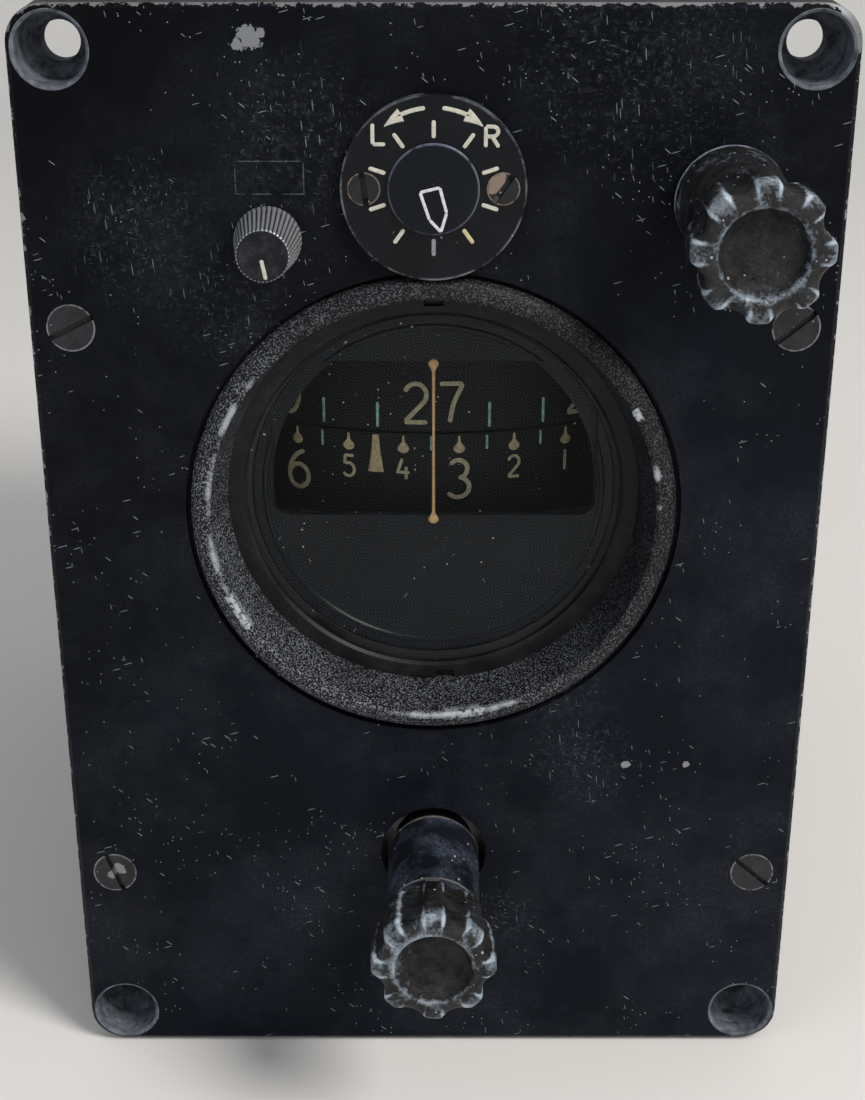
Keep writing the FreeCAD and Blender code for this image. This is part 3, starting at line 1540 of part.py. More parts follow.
def caging_plate():
    half_x = caging_plate_half_width
    plate = rounded_block(half_x, caging_plate_y, caging_plate_y + caging_plate_thickness,
                          caging_knob_z - caging_plate_half_height,
                          caging_knob_z + caging_plate_half_height, caging_plate_corner)
    plate = plate.cut(y_cylinder(bush_radius + fitting_clearance, caging_plate_y - 1,
                                 caging_plate_y + caging_plate_thickness + 1, 0, caging_knob_z))
    for side in (-1, 1):
        plate = plate.cut(y_cylinder(small_screw_radius + screw_clearance, caging_plate_y - 1,
                                     caging_plate_y + caging_plate_thickness + 1,
                                     side * caging_post_x, caging_knob_z))
    return plate


def caging_bush():
    flange_y = caging_flange_y
    return y_revolve([
        (shaft_radius + running_fit, caging_bush_start_y),
        (bush_radius, caging_bush_start_y),
        (bush_radius, flange_y),
        (bush_flange_radius, flange_y),
        (bush_flange_radius, flange_y + bush_flange_thickness),
        (bush_radius, flange_y + bush_flange_thickness),
        (bush_radius, caging_bush_end_y),
        (shaft_radius + running_fit, caging_bush_end_y),
    ], 0, caging_knob_z)


def caging_sleeve():
    # A thin tube that slides with the knob but does not turn; a collar at its inner end
    # runs on the bush, a rounded shoulder steps it down inside the panel's hole, and two
    # notches are cut at its outer end
    front_y = caging_head_back_y + caging_sleeve_gap
    back_y = face_y + caging_sleeve_inset
    inner = knob_sleeve_radius - caging_sleeve_wall
    tail_radius = caging_shoulder_radius - caging_shoulder_step
    shoulder_y = face_y - caging_shoulder_gap
    collar_y = back_y - caging_collar_length
    sleeve = y_revolve([
        (inner, front_y),
        (knob_sleeve_radius, front_y),
        (caging_shoulder_radius, shoulder_y - caging_shoulder_round),
        (caging_shoulder_radius - caging_shoulder_round / 3, shoulder_y - caging_shoulder_round / 3),
        (caging_shoulder_radius - caging_shoulder_round, shoulder_y),
        (tail_radius, shoulder_y),
        (tail_radius, back_y),
        (bush_radius + running_fit, back_y),
        (bush_radius + running_fit, collar_y),
        (inner, collar_y),
    ], 0, caging_knob_z)
    half = caging_notch_width / 2
    reach = 2 * knob_sleeve_radius
    notch = box(-half, half, front_y - 1, front_y + caging_notch_length, caging_knob_z - reach,
                caging_knob_z + reach)
    return sleeve.cut(notch)


def caging_knob():
    front_y = face_y - caging_knob_height
    head = knob_head(front_y, front_y + knob_head_length, 0, caging_knob_z)
    bore = y_cylinder(shaft_radius, front_y + knob_dish_depth + knob_crown, face_y, 0, caging_knob_z)
    return head.cut(bore)


def caging_shaft():
    front_y = face_y - caging_knob_height + knob_dish_depth + knob_crown
    return y_cylinder(shaft_radius, front_y, caging_wheel_y + friction_wheel_width, 0, caging_knob_z)


def friction_wheel():
    return y_revolve([
        (shaft_radius, caging_wheel_y),
        (friction_wheel_radius, caging_wheel_y),
        (friction_wheel_radius, caging_wheel_y + friction_wheel_width - friction_taper),
        (friction_wheel_radius - friction_taper, caging_wheel_y + friction_wheel_width),
        (shaft_radius, caging_wheel_y + friction_wheel_width),
    ], 0, caging_knob_z)


def relay_body():
    # Air relay on the inside of the rear cover, fed by the two pick-off pipes
    start = cover_front_y - relay_depth
    block = box(-relay_half_width, relay_half_width, start, cover_front_y, relay_low_z, relay_high_z)
    edges = []
    for edge in block.Edges:
        if edge.BoundBox.YMax < start + 1e-6:
            edges.append(edge)
    block = block.makeChamfer(relay_chamfer, edges)
    diaphragm = y_cylinder(relay_dome_radius, start - relay_dome_height, start + 1, 0, port_z)
    block = block.fuse(diaphragm).removeSplitter()
    for side in (-1, 1):
        pipe_hole = z_cylinder(pipe_radius + fitting_clearance, relay_low_z - 1, relay_low_z + pipe_insert,
                               side * pipe_spread, cover_front_y - relay_depth / 2)
        port = y_cylinder(port_bore_radius, cover_front_y - relay_port_depth, cover_front_y + 1,
                          side * port_x, port_z)
        block = cut_all(block, [pipe_hole, port])
    return block


def rear_cover():
    cover = rounded_block(case_half_width, cover_front_y, cover_back_y, -case_half_height,
                          case_half_height, case_corner_radius)
    filter_low = filter_z - filter_radius
    vacuum_reach = vacuum_hex_across / math.sqrt(3)
    port_reach = port_hex_across / math.sqrt(3)
    upper_rib_z = (filter_low + vacuum_z + vacuum_reach) / 2
    middle_rib_z = (vacuum_z - vacuum_reach + port_z + port_reach) / 2
    lower_rib_z = port_z - port_reach - (middle_rib_z - port_z - port_reach)
    for height in (upper_rib_z, middle_rib_z, lower_rib_z):
        rib = box(cover_rib_margin - case_half_width, case_half_width - cover_rib_margin, cover_back_y,
                  cover_back_y + cover_rib_height, height - cover_rib_width / 2,
                  height + cover_rib_width / 2)
        cover = cover.fuse(rib)
    cover = cover.removeSplitter()
    for x, z in cover_screw_places():
        cover = cover.cut(y_cylinder(cover_screw_radius + screw_clearance, cover_front_y - 1,
                                     cover_back_y + cover_thickness, x, z))
    for side in (-1, 1):
        cover = cover.cut(y_cylinder(port_outer_radius + fitting_clearance, cover_front_y - 1,
                                     cover_back_y + cover_thickness, side * port_x, port_z))
    cover = cover.cut(y_cylinder(vacuum_outer_radius + fitting_clearance, cover_front_y - 1,
                                 cover_back_y + cover_thickness, 0, vacuum_z))
    return cover.cut(y_cylinder(filter_neck_radius, cover_front_y - 1, cover_back_y + cover_thickness, 0,
                                filter_z))


def rear_screws():
    screws = []
    for x, z in cover_screw_places():
        screw = cheese_screw(cover_screw_head_radius, cover_screw_head_height, cover_screw_radius,
                             cover_thickness + joint_gasket + cover_screw_grip)
        screw.rotate(Vector(0, 0, 0), Vector(1, 0, 0), 90)
        screw.translate(Vector(x, cover_back_y, z))
        screws.append(screw)
    return Part.makeCompound(screws)


def pipe_union(outer, bore, across, length, x, z):
    # A threaded nipple with a hexagon outside the cover and a plain end in it
    hexagon_part = hexagon(across, cover_back_y, cover_back_y + port_hex_height, x, z)
    nipple = y_cylinder(outer, cover_front_y, cover_back_y + length, x, z)
    return fuse_all(hexagon_part, [nipple]).cut(y_cylinder(bore, cover_front_y - 1,
                                                           cover_back_y + length + 1, x, z))


def vacuum_union():
    return pipe_union(vacuum_outer_radius, vacuum_bore_radius, vacuum_hex_across, vacuum_length,
                      0, vacuum_z)


def outlet_unions():
    return Part.makeCompound([
        pipe_union(port_outer_radius, port_bore_radius, port_hex_across, port_length, side * port_x, port_z)
        for side in (-1, 1)
    ])


def air_filter():
    # A shallow cap with a ring of inlet holes in its rim, on a neck through the cover
    top = cover_back_y + filter_height
    cap = y_revolve([
        (filter_neck_radius - filter_wall, cover_front_y),
        (filter_neck_radius - fitting_clearance, cover_front_y),
        (filter_neck_radius - fitting_clearance, cover_back_y),
        (filter_radius, cover_back_y),
        (filter_radius, top - filter_edge),
        (filter_radius - filter_edge, top),
        (0, top),
        (0, top - filter_wall),
        (filter_radius - filter_wall - filter_edge / 2, top - filter_wall),
        (filter_radius - filter_wall, top - filter_wall - filter_edge / 2),
        (filter_radius - filter_wall, cover_back_y + filter_wall),
        (filter_neck_radius - filter_wall, cover_back_y + filter_wall),
    ], 0, filter_z)
    middle = (cover_back_y + filter_wall + top - filter_edge) / 2
    for index in range(filter_hole_count // 2):
        angle = 360 * index / filter_hole_count
        hole = x_cylinder(filter_hole_radius, -filter_radius - 2, filter_radius + 2, middle, filter_z)
        hole.rotate(Vector(0, middle, filter_z), Y_AXIS, angle)
        cap = cap.cut(hole)
    return cap


nodes = {
    "front_panel": front_panel,
    "panel_screws": panel_screws,
    "bezel_ring": bezel_ring,
    "retaining_ring": retaining_ring,
    "window_glass": window_glass,
    "glass_gasket": glass_gasket,
    "mask_plate": mask_plate,
    "mask_screws": mask_screws,
    "lubber_line": lubber_line,
    "dial_plate": dial_plate,
    "dial_screws": dial_screws,
    "dial_pointer": dial_pointer,
    "dial_spindle": dial_spindle,
    "idler_gear": idler_gear,
    "trim_spindle": trim_spindle,
    "trim_knob": trim_knob,
    "front_gasket": front_gasket,
    "case_body": case_body,
    "rear_gasket": rear_gasket,
    "rear_cover": rear_cover,
    "rear_screws": rear_screws,
    "top_post": top_post,
    "lower_cup": lower_cup,
    "post_screws": post_screws,
    "upper_bearing": upper_bearing,
    "lower_bearing": lower_bearing,
    "vertical_ring": vertical_ring,
    "upper_trunnion": upper_trunnion,
    "lower_trunnion": lower_trunnion,
    "gimbal_bearings": gimbal_bearings,
    "azimuth_card": azimuth_card,
    "sync_disc": sync_disc,
    "pickoff_vane": pickoff_vane,
    "pickoff_block": pickoff_block,
    "pickoff_pipes": pickoff_pipes,
    "housing_cup": housing_cup,
    "housing_cover": housing_cover,
    "housing_pivots": housing_pivots,
    "rotor": rotor,
    "rotor_spindle": rotor_spindle,
    "rotor_bearings": rotor_bearings,
    "course_card": course_card,
    "worm_wheel": worm_wheel,
    "card_collar": card_collar,
    "worm_shaft": worm_shaft,
    "worm_bracket": worm_bracket,
    "small_screws": small_screws,
    "rudder_bush": rudder_bush,
    "rudder_knob": rudder_knob,
    "caging_plate": caging_plate,
    "caging_bush": caging_bush,
    "caging_sleeve": caging_sleeve,
    "caging_knob": caging_knob,
    "caging_shaft": caging_shaft,
    "friction_wheel": friction_wheel,
    "relay_body": relay_body,
    "vacuum_union": vacuum_union,
    "outlet_unions": outlet_unions,
    "air_filter": air_filter,
}

os.makedirs("parts", exist_ok=True)
for name, build in nodes.items():
    shape = build()
    solids = shape.Solids
    print(name, "solids", len(solids), "valid", shape.isValid(), "volume", round(shape.Volume, 2))
    shape.exportStep("parts/" + name + ".step")
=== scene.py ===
import functools
import math

import bmesh
import bpy
import numpy as np
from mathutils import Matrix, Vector


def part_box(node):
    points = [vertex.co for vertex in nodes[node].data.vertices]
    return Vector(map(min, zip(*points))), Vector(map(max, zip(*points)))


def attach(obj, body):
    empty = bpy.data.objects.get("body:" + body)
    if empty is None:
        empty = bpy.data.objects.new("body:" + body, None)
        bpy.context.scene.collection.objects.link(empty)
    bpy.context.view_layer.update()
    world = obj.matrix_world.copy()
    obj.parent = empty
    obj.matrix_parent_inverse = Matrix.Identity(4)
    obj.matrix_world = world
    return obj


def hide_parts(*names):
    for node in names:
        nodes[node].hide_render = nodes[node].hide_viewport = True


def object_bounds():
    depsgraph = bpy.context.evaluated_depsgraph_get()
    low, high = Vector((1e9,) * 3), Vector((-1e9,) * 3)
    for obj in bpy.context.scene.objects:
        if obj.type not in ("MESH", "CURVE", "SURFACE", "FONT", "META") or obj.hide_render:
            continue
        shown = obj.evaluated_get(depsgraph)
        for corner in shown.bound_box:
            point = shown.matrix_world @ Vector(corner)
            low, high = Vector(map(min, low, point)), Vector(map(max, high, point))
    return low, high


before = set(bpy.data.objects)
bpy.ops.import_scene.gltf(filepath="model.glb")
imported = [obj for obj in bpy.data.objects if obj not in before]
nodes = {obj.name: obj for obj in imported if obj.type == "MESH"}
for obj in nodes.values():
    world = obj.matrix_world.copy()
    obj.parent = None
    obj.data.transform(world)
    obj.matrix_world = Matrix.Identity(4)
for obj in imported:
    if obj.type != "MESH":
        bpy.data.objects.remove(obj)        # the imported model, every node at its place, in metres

print("frame loaded")
cadLow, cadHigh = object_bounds()
scene = bpy.context.scene


def boxOf(node):
    # lowest and highest corner of a node, in millimetres
    low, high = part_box(node)
    return np.array(low) * 1000, np.array(high) * 1000


# Small helpers

def linear(hexCode):
    # sRGB byte c to linear light: ((c / 255 + 0.055) / 1.055) ^ 2.4, or c / 255 / 12.92 near black
    channels = [int(hexCode[i:i + 2], 16) / 255 for i in (1, 3, 5)]
    return [((c + 0.055) / 1.055) ** 2.4 if c > 0.04045 else c / 12.92 for c in channels] + [1.0]


def addNode(tree, kind, inputs=None, out=0, **settings):
    # adds a node, sets it, links or fills its inputs, and gives back one of its outputs;
    # the kind of a math node is followed by its operation
    name, _, operation = kind.partition(" ")
    node = tree.nodes.new("ShaderNode" + name)
    if operation:
        node.operation = operation
    for name, value in settings.items():
        setattr(node, name, value)
    for key, value in (inputs or {}).items():
        if isinstance(value, bpy.types.NodeSocket):
            tree.links.new(value, node.inputs[key])
        else:
            node.inputs[key].default_value = value
    return node.outputs[out] if len(node.outputs) else node


# a mix of two colours: the settings and the output of its node
twoColours = {"out": 2, "data_type": "RGBA"}


def startMaterial(name):
    # an empty material, its node adder, and its place socket: Object coordinates in millimetres
    material = bpy.data.materials.new(name)
    material.use_nodes = True
    material.node_tree.nodes.clear()
    add = functools.partial(addNode, material.node_tree)
    where = add("TexCoord", out="Object")
    place = add("VectorMath MULTIPLY", {0: where, 1: (1000, 1000, 1000)})
    return material, add, place


def offBy(add, value, target):
    # | value - target |
    return add("Math ABSOLUTE", {0: add("Math SUBTRACT", {0: value, 1: target})})


def radiusFrom(add, place, middle):
    # distance from the line along y through middle: | (place - middle) * (1, 0, 1) |
    centred = add("VectorMath SUBTRACT", {0: place, 1: middle})
    centred = add("VectorMath MULTIPLY", {0: centred, 1: (1, 0, 1)})
    return add("VectorMath LENGTH", {0: centred}, out="Value")


def softAreas(add, place, areas, full):
    # 1 within full * radius of any place (x, z, radius), falling to 0 at its radius, seen along y
    flat = add("VectorMath MULTIPLY", {0: place, 1: (1, 0, 1)})
    total = 0.0
    for x, z, radius in areas:
        gap = add("VectorMath DISTANCE", {0: flat, 1: (x, 0, z)}, out="Value")
        soft = add("MapRange", {"Value": gap, "From Min": radius, "From Max": radius * full})
        total = add("Math MAXIMUM", {0: total, 1: soft})
    return total


def cloud(add, place, size, low, high, detail=3.0, rough=0.55):
    # soft patches: noise whose blobs are size mm across, stretched from low..high to 0..1
    noise = add("TexNoise", {"Vector": place, "Scale": 1 / size, "Detail": detail, "Roughness": rough})
    return add("MapRange", {"Value": noise, "From Min": low, "From Max": high})


def flecks(add, place, cell, size, share, stretch=(1, 1, 1), turn=(0, 0, 0)):
    # one mark at most per cell: inside where distance < size * random, and only in a share of the cells
    turned = add("Mapping", {"Vector": place, "Rotation": turn, "Scale": [cell * s for s in stretch]},
        vector_type="TEXTURE")
    distance = add("TexVoronoi", {"Vector": turned, "Scale": 1.0}, out="Distance")
    random = add("SeparateColor", {0: distance.node.outputs["Color"]})
    chosen = add("Math LESS_THAN", {0: random, 1: share})
    reach = add("Math MULTIPLY", {0: random.node.outputs[1], 1: size})
    inside = add("Math LESS_THAN", {0: distance, 1: reach})
    return add("Math MULTIPLY", {0: chosen, 1: inside})


def spots(add, place, places, ragged=1.2):
    # 1 near any of the places (x, z, radius), seen along y, with an outline that a noise makes ragged
    flat = add("VectorMath MULTIPLY", {0: place, 1: (1, 0, 1)})
    noise = add("TexNoise", {"Vector": place, "Scale": 0.9, "Detail": 4.0, "Roughness": 0.7})
    total = 0.0
    for x, z, radius in places:
        gap = add("VectorMath DISTANCE", {0: flat, 1: (x, 0, z)}, out="Value")
        limit = add("Math MULTIPLY_ADD", {0: noise, 1: 2 * ragged * radius, 2: radius * (1 - ragged)})
        inside = add("Math LESS_THAN", {0: gap, 1: limit})
        total = add("Math MAXIMUM", {0: total, 1: inside})
    return total


def wornFinish(name, look, wearMask=None, extra=None):
    # colour = bare metal over flecks over dust over paint; height = grain - what the wear took off;
    # with a sheen slope, paint and dust grow along a direction, lighter towards one side as a painted sheen
    material, add, place = startMaterial(name)
    patch = cloud(add, place, look.get("patch", 22.0), 0.36, 0.64)
    slope = 1.0
    # painted sheen: the patch tone and the dust haze rise towards one side of the part
    if "slope" in look:
        dx, dz, start, stop = look["slope"]
        slope = add("VectorMath DOT_PRODUCT", {0: place, 1: (dx, 0, dz)}, out="Value")
        slope = add("MapRange", {"Value": slope, "From Min": start, "From Max": stop})
        patch = add("Mix", {0: 0.7, 2: patch, 3: slope}, out=0)
        slope = add("MapRange", {"Value": slope, "To Min": 0.45, "To Max": 1.0})
    colour = add("Mix", {0: patch, 6: linear(look["paint"]), 7: linear(look["paintTwo"])}, **twoColours)
    grain = add("TexNoise", {"Vector": place, "Scale": 1 / look.get("grain", 0.35), "Detail": 3.0, "Roughness": 0.6})
    haze = cloud(add, place, look.get("hazeSize", 16.0), 0.44, 0.78, 7.0, 0.68)
    fine = add("MapRange", {"Value": grain, "From Min": 0.3, "From Max": 0.75})
    haze = add("Math MULTIPLY", {0: haze, 1: fine})
    haze = add("Math MULTIPLY_ADD", {0: haze, 1: look.get("hazeShare", 0.3), 2: look.get("hazeBase", 0.0)})
    haze = add("Math MULTIPLY", {0: haze, 1: slope})
    if extra:
        haze = add("Math ADD", {0: haze, 1: extra(add, place)}, use_clamp=True)
    colour = add("Mix", {0: haze, 6: colour, 7: linear(look["dust"])}, **twoColours)
    crowd = cloud(add, place, look.get("crowdSize", 15.0), look.get("crowdLow", 0.40), 0.66, 2.0)
    marks = 0.0
    for cell, size, share, stretch, angle in look.get("flecks", []):
        amount = add("Math MULTIPLY", {0: crowd, 1: share})
        one = flecks(add, place, cell, size, amount, stretch, (0, math.radians(angle), 0))
        marks = add("Math MAXIMUM", {0: marks, 1: one})
    marks = add("Math MULTIPLY", {0: marks, 1: look.get("fleckShare", 0.7)})
    colour = add("Mix", {0: marks, 6: colour, 7: linear(look.get("fleck", look["dust"]))}, **twoColours)
    height = add("Math MULTIPLY", {0: grain, 1: look.get("grainDepth", 0.02)})
    roughness = add("MapRange", {"Value": haze, "To Min": look["roughness"], "To Max": 0.85})
    metallic = look.get("metallic", 0.0)
    if wearMask:
        worn = wearMask(add, place)
        colour = add("Mix", {0: worn, 6: colour, 7: linear(look["bare"])}, **twoColours)
        roughness = add("Mix", {0: worn, 2: roughness, 3: look.get("bareRoughness", 0.38)}, out=0)
        metallic = add("Math MULTIPLY", {0: worn, 1: look.get("bareMetallic", 0.85)})
        height = add("Math MULTIPLY_ADD", {0: worn, 1: -look.get("filmThickness", 0.03), 2: height})
    bump = add("Bump", {"Height": height, "Distance": 0.001, "Strength": 1.0})
    shader = add("BsdfPrincipled", {"Base Color": colour, "Roughness": roughness, "Metallic": metallic, "Normal": bump,
        "IOR": look.get("ior", 1.5), "Specular IOR Level": look.get("shine", 0.5)})
    add("OutputMaterial", {"Surface": shader})
    return material


def dress(nodeName, material):
    # a node wears one finish
    mesh = nodes[nodeName].data
    mesh.materials.clear()
    mesh.materials.append(material)


def makePiece(name, grids, material, body, closeRows=True, smooth=True, attribute=None):
    # grids[k][u, v] = (x, y, z) in mm; each cell of a grid is a face, and the last column meets the first
    points, faces, start = [], [], 0
    for grid in grids:
        rows, columns = grid.shape[:2]
        index = np.arange(rows * columns).reshape(rows, columns) + start
        beside = np.roll(index, -1, axis=1)
        quads = np.stack([index[:-1], beside[:-1], beside[1:], index[1:]], -1)
        faces.append((quads if closeRows else quads[:, :-1]).reshape(-1, 4))
        points.append(grid.reshape(-1, 3))
        start += rows * columns
    mesh = bpy.data.meshes.new(name)
    allPoints = np.concatenate(points) * 0.001
    allFaces = np.concatenate(faces)
    mesh.vertices.add(len(allPoints))
    mesh.vertices.foreach_set("co", allPoints.ravel())
    mesh.loops.add(allFaces.size)
    mesh.loops.foreach_set("vertex_index", allFaces.ravel())
    mesh.polygons.add(len(allFaces))
    mesh.polygons.foreach_set("loop_start", np.arange(0, allFaces.size, 4))
    if attribute is not None:
        layer = mesh.attributes.new("worn", "FLOAT", "POINT")
        layer.data.foreach_set("value", attribute.ravel().astype(np.float32))
    mesh.update(calc_edges=True)
    work = bmesh.new()
    work.from_mesh(mesh)
    bmesh.ops.remove_doubles(work, verts=work.verts, dist=1e-6)
    bmesh.ops.dissolve_degenerate(work, edges=work.edges, dist=1e-7)
    bmesh.ops.recalc_face_normals(work, faces=work.faces)
    work.to_mesh(mesh)
    work.free()
    mesh.polygons.foreach_set("use_smooth", np.full(len(mesh.polygons), smooth))
    mesh.materials.append(material)
    piece = bpy.data.objects.new(name, mesh)
    scene.collection.objects.link(piece)
    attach(piece, body)
    return piece


def arc(cx, cy, rx, ry, start, stop, count=14):
    # points (cx + rx cos t, cy + ry sin t) for t from start to stop degrees
    t = np.radians(np.linspace(start, stop, count))
    return np.stack([cx + rx * np.cos(t), cy + ry * np.sin(t)], -1)


def strokeGrid(path, halfWidth, height, carry, widths=None):
    # a pad along a path: offset = w(s) cos v, lift = height (1 + sin v) / 2, with w(s) round at both ends
    path = np.asarray(path, float)
    steps = np.hypot(*np.diff(path, axis=0).T)
    s = np.concatenate([[0], np.cumsum(steps)])
    total = s[-1]
    if widths is None:
        cap = halfWidth * (1 - np.cos(np.linspace(0, np.pi / 2, 5)))
        count = max(2, int(total / max(0.25, halfWidth)))
        along = np.concatenate([cap, np.linspace(halfWidth, total - halfWidth, count)[1:-1], total - cap[::-1]])
        near = np.minimum(along, total - along)
        wide = halfWidth * np.sqrt(np.clip(1 - np.clip((halfWidth - near) / halfWidth, 0, 1) ** 2, 0, 1))
    else:
        shares, halves = np.array(widths, float).T
        along = np.unique(np.concatenate([shares, np.linspace(0, 1, 9)])) * total
        wide = np.interp(along / total, shares, halves)
    x = np.interp(along, s, path[:, 0])
    y = np.interp(along, s, path[:, 1])
    ahead = np.gradient(np.stack([x, y], -1), along, axis=0)
    ahead /= np.linalg.norm(ahead, axis=1, keepdims=True) + 1e-12
    side = np.stack([-ahead[:, 1], ahead[:, 0]], -1)
    v = np.linspace(0, 2 * np.pi, 10, endpoint=False)
    offset = wide[:, None] * np.cos(v)
    lift = height * (1 + np.sin(v)) / 2 * np.clip(wide[:, None] / max(wide.max(), 1e-9) * 4, 0, 1)
    return carry(x[:, None] + side[:, :1] * offset, y[:, None] + side[:, 1:] * offset, lift)


def onCard(radius, axisY):
    # a card is a cylinder: arc length a to the right, height b, lift outwards
    def carry(a, b, lift):
        turn = a / radius
        return np.stack([(radius + lift) * np.sin(turn), axisY - (radius + lift) * np.cos(turn), b + 0 * lift], -1)
    return carry


def onFace(y):
    # a flat face whose front looks along -y
    return lambda a, b, lift: np.stack([a + 0 * lift, y - lift, b + 0 * lift], -1)


# strokes of each sign in a box 1 high, as plain single-line engraving
signs = {
    "0": [arc(0.30, 0.5, 0.29, 0.5, 90, 450, 26)], "1": [[(0.30, 0), (0.30, 1)]],
    "2": [np.concatenate([arc(0.30, 0.71, 0.28, 0.29, 165, -35), [(0.02, 0.02)]]), [(0.0, 0.0), (0.60, 0.0)]],
    "3": [arc(0.28, 0.76, 0.25, 0.24, 150, -90), arc(0.27, 0.27, 0.32, 0.27, 85, -150)],
    "4": [[(0.24, 1), (0.0, 0.34), (0.62, 0.34)], [(0.44, 0.62), (0.44, 0.0)]],
    "5": [[(0.56, 1), (0.10, 1), (0.07, 0.57)], arc(0.27, 0.32, 0.31, 0.32, 125, -150)],
    "6": [np.concatenate([
        [(0.50, 1)], arc(0.55, 0.32, 0.54, 0.66, 110, 176, 9), arc(0.31, 0.31, 0.30, 0.31, 180, 540, 22)])],
    "7": [[(0.0, 1), (0.60, 1)], [(0.60, 1), (0.36, 0.5), (0.26, 0)]],
    "8": [arc(0.30, 0.76, 0.24, 0.24, -90, 270, 22), arc(0.30, 0.26, 0.30, 0.26, 90, 450, 22)],
    "9": [np.concatenate([arc(0.31, 0.69, 0.30, 0.31, 0, 360, 22), arc(0.07, 0.68, 0.54, 0.66, -4, -70, 9)])],
    "L": [[(0.0, 1), (0.0, 0)], [(0.0, 0), (0.62, 0)]],
    "R": [[(0.0, 0), (0.0, 1)], np.concatenate([[(0.0, 1)], arc(0.34, 0.76, 0.26, 0.24, 90, -90, 10), [(0.0, 0.52)]]),
        [(0.30, 0.52), (0.64, 0)]],
}


def writeSigns(text, middle, base, height, gap, halfWidth, lift, carry, narrow=0.9):
    # each sign is 0.6 * narrow of its height wide; the whole word is centred on middle
    width = 0.6 * narrow * height
    start = middle - (len(text) * width + (len(text) - 1) * gap) / 2
    grids = []
    for place, sign in enumerate(text):
        for stroke in signs[sign]:
            path = np.asarray(stroke, float) * (height * narrow, height) + (start + place * (width + gap), base)
            grids.append(strokeGrid(path, halfWidth, lift, carry))
    return grids


print("helpers ready")


# Finishes

panelLow, panelHigh = boxOf("front_panel")
ringLow, ringHigh = boxOf("bezel_ring")
windowX = (ringLow[0] + ringHigh[0]) / 2
windowZ = (ringLow[2] + ringHigh[2]) / 2

# Cellulose enamel, sprayed satin and scuffed for years: blue-black, hazy with ground-in dust, chalky
# flecks and short scratches, bright alloy wherever an edge has been knocked; bluer and hazier towards
# the lower right, which is painted sheen
panelLook = {
    "paint": "#050507", "paintTwo": "#10141d", "dust": "#7b818c", "hazeShare": 0.15, "hazeBase": 0.003, "shine": 0.06,
    "label": (-24.97, 68.0, 5.2, 2.5), "holeAt": (56.9, 0, 87.0), "holeRadius": 5.95, "holeDust": 0.75, "patch": 45.0,
    "slope": (0.5, -0.85, -100.0, 70.0), "hazeSize": 20.0, "grain": 0.38, "grainDepth": 0.022, "roughness": 0.44,
    "bare": "#8f9295", "fleck": "#9499a2", "fleckShare": 0.62, "crowdSize": 15.0, "crowdLow": 0.45,
    "flecks": [(0.8, 0.19, 0.30, (1, 1, 1), 0), (1.9, 0.15, 0.35, (1, 1, 1), 0),
        (1.2, 0.15, 0.40, (0.45, 1, 2.9), 24), (1.3, 0.14, 0.40, (0.38, 1, 3.6), -52),
        (1.6, 0.13, 0.35, (0.30, 1, 4.2), 74), (1.4, 0.13, 0.45, (0.34, 1, 4.0), -12)],
    "cornerRadius": 6.0, "wearWidth": 0.55,
    "chips": [(-27.3, 88.7, 1.7), (-29.0, 87.9, 0.9), (-25.6, 89.3, 0.8), (61.0, 90.6, 2.6), (62.4, 88.2, 1.5),
        (-63.4, 61.8, 0.7), (-63.4, 57.0, 0.5), (-63.5, 40.0, 0.4), (44.0, -34.6, 0.6), (33.5, -34.7, 0.8)],
    "scuffShare": 0.85,
    "scuffs": [(-20.0, 74.0, 15.0), (-33.0, 49.0, 12.0), (-45.0, 60.0, 14.0), (30.0, 86.0, 22.0), (22.0, -20.0, 9.0),
        (26.0, -33.0, 12.0), (12.0, -66.0, 9.0)],
}


def panelWear(add, place):
    # inside = r - |max(q, 0)| - min(max(qx, qz), 0), q = |p| - (half - r); bare where it is under the
    # wear width on the front, a little more along the top and the corners
    r = panelLook["cornerRadius"]
    spread = add("VectorMath ABSOLUTE", {0: place})
    q = add("VectorMath SUBTRACT", {0: spread, 1: (panelHigh[0] - r, 1000, panelHigh[2] - r)})
    outer = add("VectorMath MAXIMUM", {0: q, 1: (0, 0, 0)})
    outer = add("VectorMath LENGTH", {0: outer}, out="Value")
    qx = add("SeparateXYZ", {0: q})
    inner = add("Math MAXIMUM", {0: qx, 1: qx.node.outputs[2]})
    inner = add("Math MINIMUM", {0: inner, 1: 0.0})
    inside = add("Math ADD", {0: outer, 1: inner})
    inside = add("Math SUBTRACT", {0: r, 1: inside})
    y = add("SeparateXYZ", {0: place}, out=1)
    front = add("MapRange", {"Value": y, "From Min": panelLow[1] + 1.3, "From Max": panelLow[1] + 0.5})
    ragged = add("TexNoise", {"Vector": place, "Scale": 0.55, "Detail": 6.0, "Roughness": 0.75})
    high = add("MapRange", {"Value": y.node.outputs[2], "From Min": 88.0, "From Max": 93.4, "To Max": 0.28})
    limit = add("MapRange", {"Value": ragged, "From Min": 0.42, "From Max": 0.66, "To Min": -0.3,
        "To Max": panelLook["wearWidth"]})
    limit = add("Math ADD", {0: limit, 1: high})
    edge = add("Math LESS_THAN", {0: inside, 1: limit})
    edge = add("Math MULTIPLY", {0: edge, 1: front})
    chips = spots(add, place, panelLook["chips"])
    chips = add("Math MULTIPLY", {0: chips, 1: front})
    return add("Math MAXIMUM", {0: edge, 1: chips})


